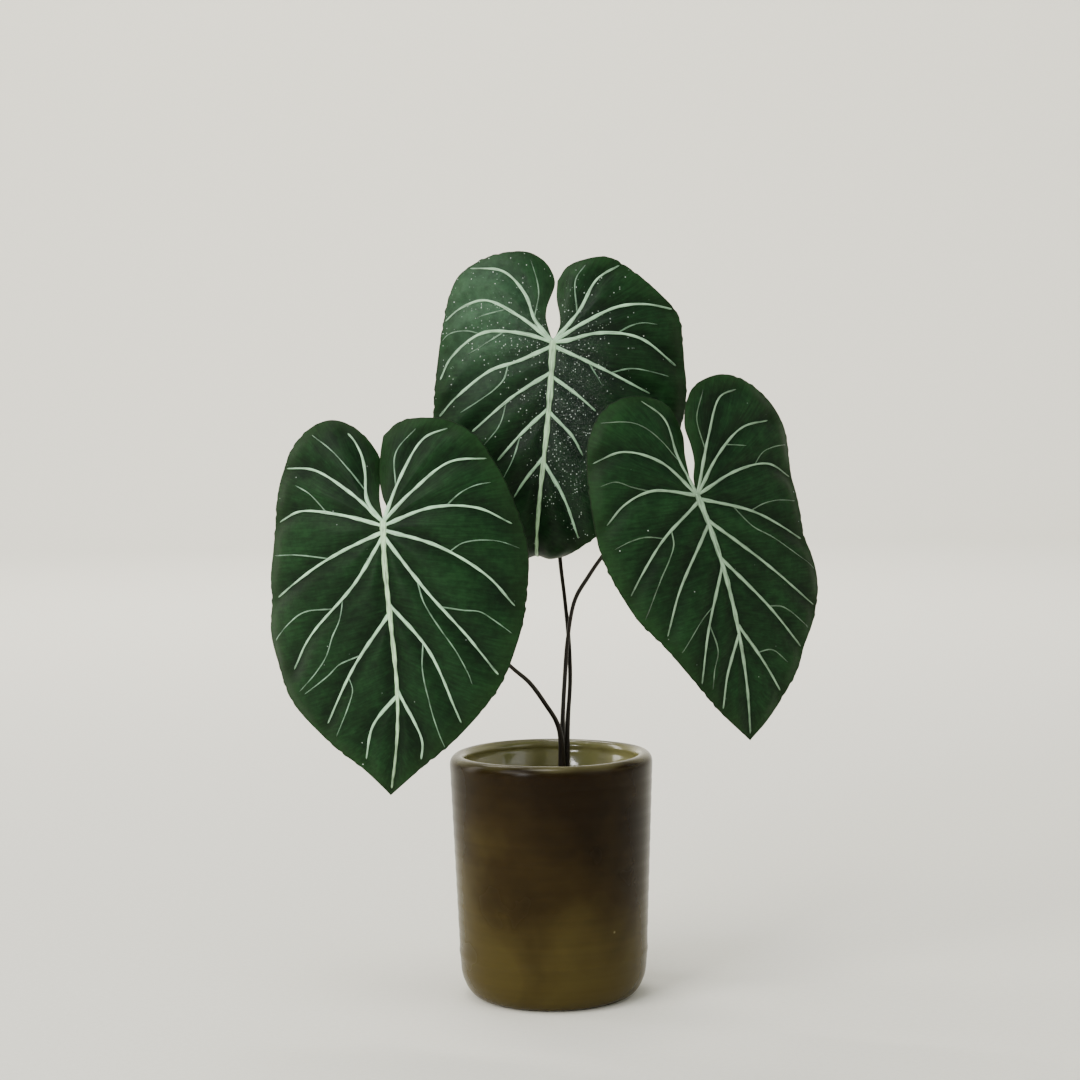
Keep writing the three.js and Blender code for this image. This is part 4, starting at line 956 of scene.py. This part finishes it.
# Living leaf, underside: duller and paler, finely netted, with still paler ribs
blade_under, add = new_material("leaf_under_matte")
cloud = add("TexNoise", {  # paler areas about 20 mm across
    "Scale": 50.0, "Detail": 1.0})
cells = add("TexVoronoi", {  # net of the finest veins, 1.6 mm mesh
    "Scale": 620.0}, feature="DISTANCE_TO_EDGE")
net = add("MapRange", {"Value": cells, "From Max": 0.25, "To Min": 0.12, "To Max": 0.0})
shade = add("Math", {0: cloud, 1: 0.6, 2: net}, operation="MULTIPLY_ADD")
leaf_green = add("ValToRGB", {"Fac": shade}, stops=[(0.2, "2f4a2c"), (0.5, "46633f")])
thick = add("Attribute", attribute_name="rib")
green = add("Mix", {0: thick, 6: leaf_green, 7: linear("6f8a5c")}, data_type="RGBA")
skin = add("TexNoise", {"Scale": 2200.0, "Detail": 2.0})
bump = add("Bump", {"Height": skin, "Strength": 0.4, "Distance": 0.0001})
netted = add("Bump", {"Height": net, "Strength": 0.5, "Distance": 0.0006, "Normal": bump})
surface = add("BsdfPrincipled", {
    "Base Color": green, "Roughness": 0.62, "Normal": netted, "IOR": 1.42,
    "Specular IOR Level": 0.3})
add("OutputMaterial", {"Surface": surface})

for leaf in LEAVES:
    points, faces, uv, attributes, under = blade_arrays(leaf)
    for side in (-1, 1):
        lines_here = primary_lines(leaf, side) + ([midrib_line(leaf)] if side > 0 else [])
        for line in lines_here:
            is_midrib = bool(abs(line[-1, 1] - line[0, 1]) > 50)
            rib, rib_faces, rib_uv, _ = strand_arrays(
                leaf, side, line, RIB_WIDTH[is_midrib], RIB_HEIGHT[is_midrib], face=-1)
            faces = np.concatenate([faces, rib_faces + len(points)])
            points = np.concatenate([points, rib])
            uv = np.concatenate([uv, rib_uv])
            under = np.concatenate([under, np.ones(len(rib_faces))])
    skin_count = len(attributes["margin"])
    attributes = {key: np.concatenate([value, np.zeros(len(points) - skin_count)])
                  for key, value in attributes.items()}
    attributes["rib"] = np.where(np.arange(len(points)) < skin_count, 0.0, 0.8)
    blade = make_piece("blade_" + leaf["name"], points, faces, [blade_upper, blade_under],
                       uv, attributes, under)
    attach(blade, "root")
    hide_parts("leaf_" + leaf["name"])


# ---- Veins ----
# The pale ribs of the upper side: a broad cream midrib, fourteen mint primaries on each
# leaf and thin branches between them, grown with the blade and standing just above it.
MIDRIB_WIDTH = (2.05, 0.75)
MIDRIB_HEIGHT = (0.45, 0.25)
PRIMARY_WIDTH = (1.25, 0.52)
PRIMARY_HEIGHT = (0.3, 0.12)
BRANCH_WIDTH = (0.46, 0.28)
BRANCH_HEIGHT = (0.1, 0.05)
MIDRIB_CREAM = 0.5
PRIMARY_CREAM = 0.15
BRANCH_COVER = 0.55
LONE_BRANCH = 2


def nearest_start(lines, point):
    """The point of the given lines that is nearest to a branch's first point."""
    spread = np.concatenate([smooth_line(line, np.linspace(0, 1, 120)) for line in lines])
    return spread[np.argmin(np.linalg.norm(spread - point, axis=1))]


# Vein tissue: pale mint to cream and finely brushed along its length, with the leaf's
# green showing through at its sides and where it thins out at the end. Painted shade makes
# the veins greyer on the leaves that stand in shade
vein_pale, add = new_material("vein_pale_fibre")
lines = add("UVMap", uv_map="lines")
drawn = add("Mapping", {  # fibres a fifth of the vein's width, 4 mm long
    "Vector": lines, "Scale": (4.5, 22.0, 1.0)})
fibre = add("TexNoise", {"Vector": drawn, "Scale": 1.0, "Detail": 3.0, "Roughness": 0.6})
thick = add("Attribute", attribute_name="thick")
cream = add("Attribute", attribute_name="cream")
vein_shade = add("Attribute", attribute_name="vein_shade")
hue = add("Mix", {0: cream, 6: linear("bcf2ca"), 7: linear("c8ebac")}, data_type="RGBA")
# Painted shade: greyer, darker veins on the leaves in shade
hue = add("Mix", {0: vein_shade, 6: hue, 7: linear("92b594")}, data_type="RGBA")
cloud = add("TexNoise", {"Scale": 70.0, "Detail": 2.0})
green = add("ValToRGB", {"Fac": cloud},
    stops=[(0.38, "081a0b"), (0.5, "102913"), (0.64, "18371b")])
worn = add("TexNoise", {  # paler and greener lengths of about 3 mm
    "Scale": 300.0, "Detail": 2.0})
cover = add("Math", {0: fibre, 1: 2.2, 2: thick}, operation="MULTIPLY_ADD")
cover = add("Math", {0: worn, 1: 0.9, 2: cover}, operation="MULTIPLY_ADD")
cover = add("MapRange", {"Value": cover, "From Min": 1.8, "From Max": 2.82})
laid = add("Mix", {0: cover, 6: green, 7: hue}, data_type="RGBA")
bump = add("Bump", {"Height": fibre, "Strength": 0.6, "Distance": 0.0002})
surface = add("BsdfPrincipled", {
    "Base Color": laid, "Roughness": 0.45, "Normal": bump, "IOR": 1.42})
add("OutputMaterial", {"Surface": surface})

for leaf in LEAVES:
    strands = [(strand_arrays(leaf, 1, midrib_line(leaf), MIDRIB_WIDTH, MIDRIB_HEIGHT),
                MIDRIB_CREAM, 1)]
    for side in (-1, 1):
        primaries = primary_lines(leaf, side)
        for line in primaries:
            strands.append((strand_arrays(leaf, side, line, PRIMARY_WIDTH, PRIMARY_HEIGHT),
                            PRIMARY_CREAM, 1))
        for branch in leaf[half_name(side)]["branches"]:
            line = np.array(branch, float)
            root = nearest_start(primaries, line[0])
            if np.linalg.norm(root - line[0]) < LONE_BRANCH:
                line[0] = root
            strands.append((strand_arrays(leaf, side, line, BRANCH_WIDTH, BRANCH_HEIGHT), 0.0,
                            BRANCH_COVER))
    counts = [len(strand[0]) for strand, _, _ in strands]
    starts = np.concatenate([[0], np.cumsum(counts)[:-1]])
    veins = make_piece(
        "vein_lines_" + leaf["name"], np.concatenate([strand[0] for strand, _, _ in strands]),
        np.concatenate([strand[1] + start for (strand, _, _), start in zip(strands, starts)]),
        [vein_pale], np.concatenate([strand[2] for strand, _, _ in strands]),
        {"thick": np.concatenate([strand[3] * cover for strand, _, cover in strands]),
         "cream": np.repeat([cream for _, cream, _ in strands], counts),
         "vein_shade": np.full(sum(counts), leaf["vein_shade"])})
    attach(veins, "root")
    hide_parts("veins_" + leaf["name"])


# ---- Stalks ----
# Wiry, nearly black petioles, rooted in the mix. They bow apart over the lip, and each
# swells a little where it meets the back of its blade.
STALK_RADIUS = 0.6
STALK_FOOT_DEPTH = 20
STALK_TAPER = 0.1
KNEE_SWELL = 0.35
FOOT_SWELL = 0.75
STALK_STEPS = 220
STALK_SIDES = 16
STALKS = {
    "top": [(4.1, 1.2, 62), (4.7, 1.8, 74.5), (5.5, 3.5, 85), (5.3, 5.5, 96), (4.4, 9, 107),
            (3.2, 11.5, 119), (2.6, 12, 140), (2.4, 8, 161)],
    "left": [(2.9, -2, 62), (2.6, -3, 71), (1.5, -4, 75), (-1.2, -6, 79.7), (-5.4, -9, 86),
             (-10, -12, 90.5), (-21, -16, 101.3), (-31, -18.5, 114)],
    "right": [(2.9, -0.2, 62), (3.3, 0, 75), (4, -0.8, 86), (4.9, -1.5, 96.7),
              (7, -3, 107.7), (10.6, -5, 114), (14.1, -8, 119.3), (19, -10.5, 125.5),
              (28, -14, 133)],
}


def stalk_arrays(leaf):
    """A tube round a smooth line: straight in the mix, through the stalk's own points, and
    into the back of the blade.

    The ring's first direction is square to the path and to a fixed slant. The radius
    swells by Gaussians of the path at both ends, and goes to zero at the caps.
    """
    x, y, z = STALKS[leaf["name"]][0]
    foot = MIX_LEVEL - STALK_FOOT_DEPTH
    behind = [blade_place(leaf, np.array(0.0), np.array(-2.0), 1, np.array(lift))
              for lift in (-5.2, -1.2, -0.2)]
    way = [(x, y, foot), (x, y, (foot + z) / 2), *STALKS[leaf["name"]], *behind]
    v = np.linspace(0, 1, STALK_STEPS)
    centre = smooth_line(way, v)
    tangent = np.gradient(centre, axis=0)
    tangent = tangent / np.linalg.norm(tangent, axis=1, keepdims=True)
    first = np.cross(tangent, (0.3, 0.9, 0.1))
    first = first / np.linalg.norm(first, axis=1, keepdims=True)
    second = np.cross(tangent, first)
    angle = np.linspace(0, 2 * np.pi, STALK_SIDES, endpoint=False)[None, :, None]
    above_mix = np.maximum(centre[:, 2] - MIX_LEVEL, 0)
    radius = STALK_RADIUS * (1 - STALK_TAPER * v + KNEE_SWELL * np.exp(-((1 - v) / 0.035) ** 2)
                             + FOOT_SWELL * np.exp(-(above_mix / 16) ** 2)
                             + 0.04 * np.sin(31 * v + leaf["yaw"]))
    radius[[0, -1]] = 0
    ring = first[:, None] * np.cos(angle) + second[:, None] * np.sin(angle)
    points = centre[:, None] + ring * radius[:, None, None]
    uv = np.stack(np.broadcast_arrays(angle[..., 0] / (2 * np.pi), v[:, None]), -1)
    return points.reshape(-1, 3), grid_faces(len(v), STALK_SIDES, closed=True), uv.reshape(-1, 2)


# Petiole skin: smooth, nearly black brown, a little waxy, ribbed lengthwise
stalk_skin, add = new_material("stalk_dark_skin")
lines = add("UVMap", uv_map="lines")
drawn = add("Mapping", {"Vector": lines, "Scale": (9.0, 9.0, 1.0)})
rib = add("TexNoise", {"Vector": drawn, "Scale": 1.0, "Detail": 3.0})
tone = add("ValToRGB", {"Fac": rib}, stops=[(0.35, "0c0907"), (0.65, "1f1811")])
bump = add("Bump", {"Height": rib, "Strength": 0.4, "Distance": 0.0001})
surface = add("BsdfPrincipled", {
    "Base Color": tone, "Roughness": 0.4, "Normal": bump, "IOR": 1.42,
    "Specular IOR Level": 0.3})
add("OutputMaterial", {"Surface": surface})

for leaf in LEAVES:
    points, faces, uv = stalk_arrays(leaf)
    stalk = make_piece("stalk_" + leaf["name"], points, faces, [stalk_skin], uv)
    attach(stalk, "root")
    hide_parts("petiole_" + leaf["name"])
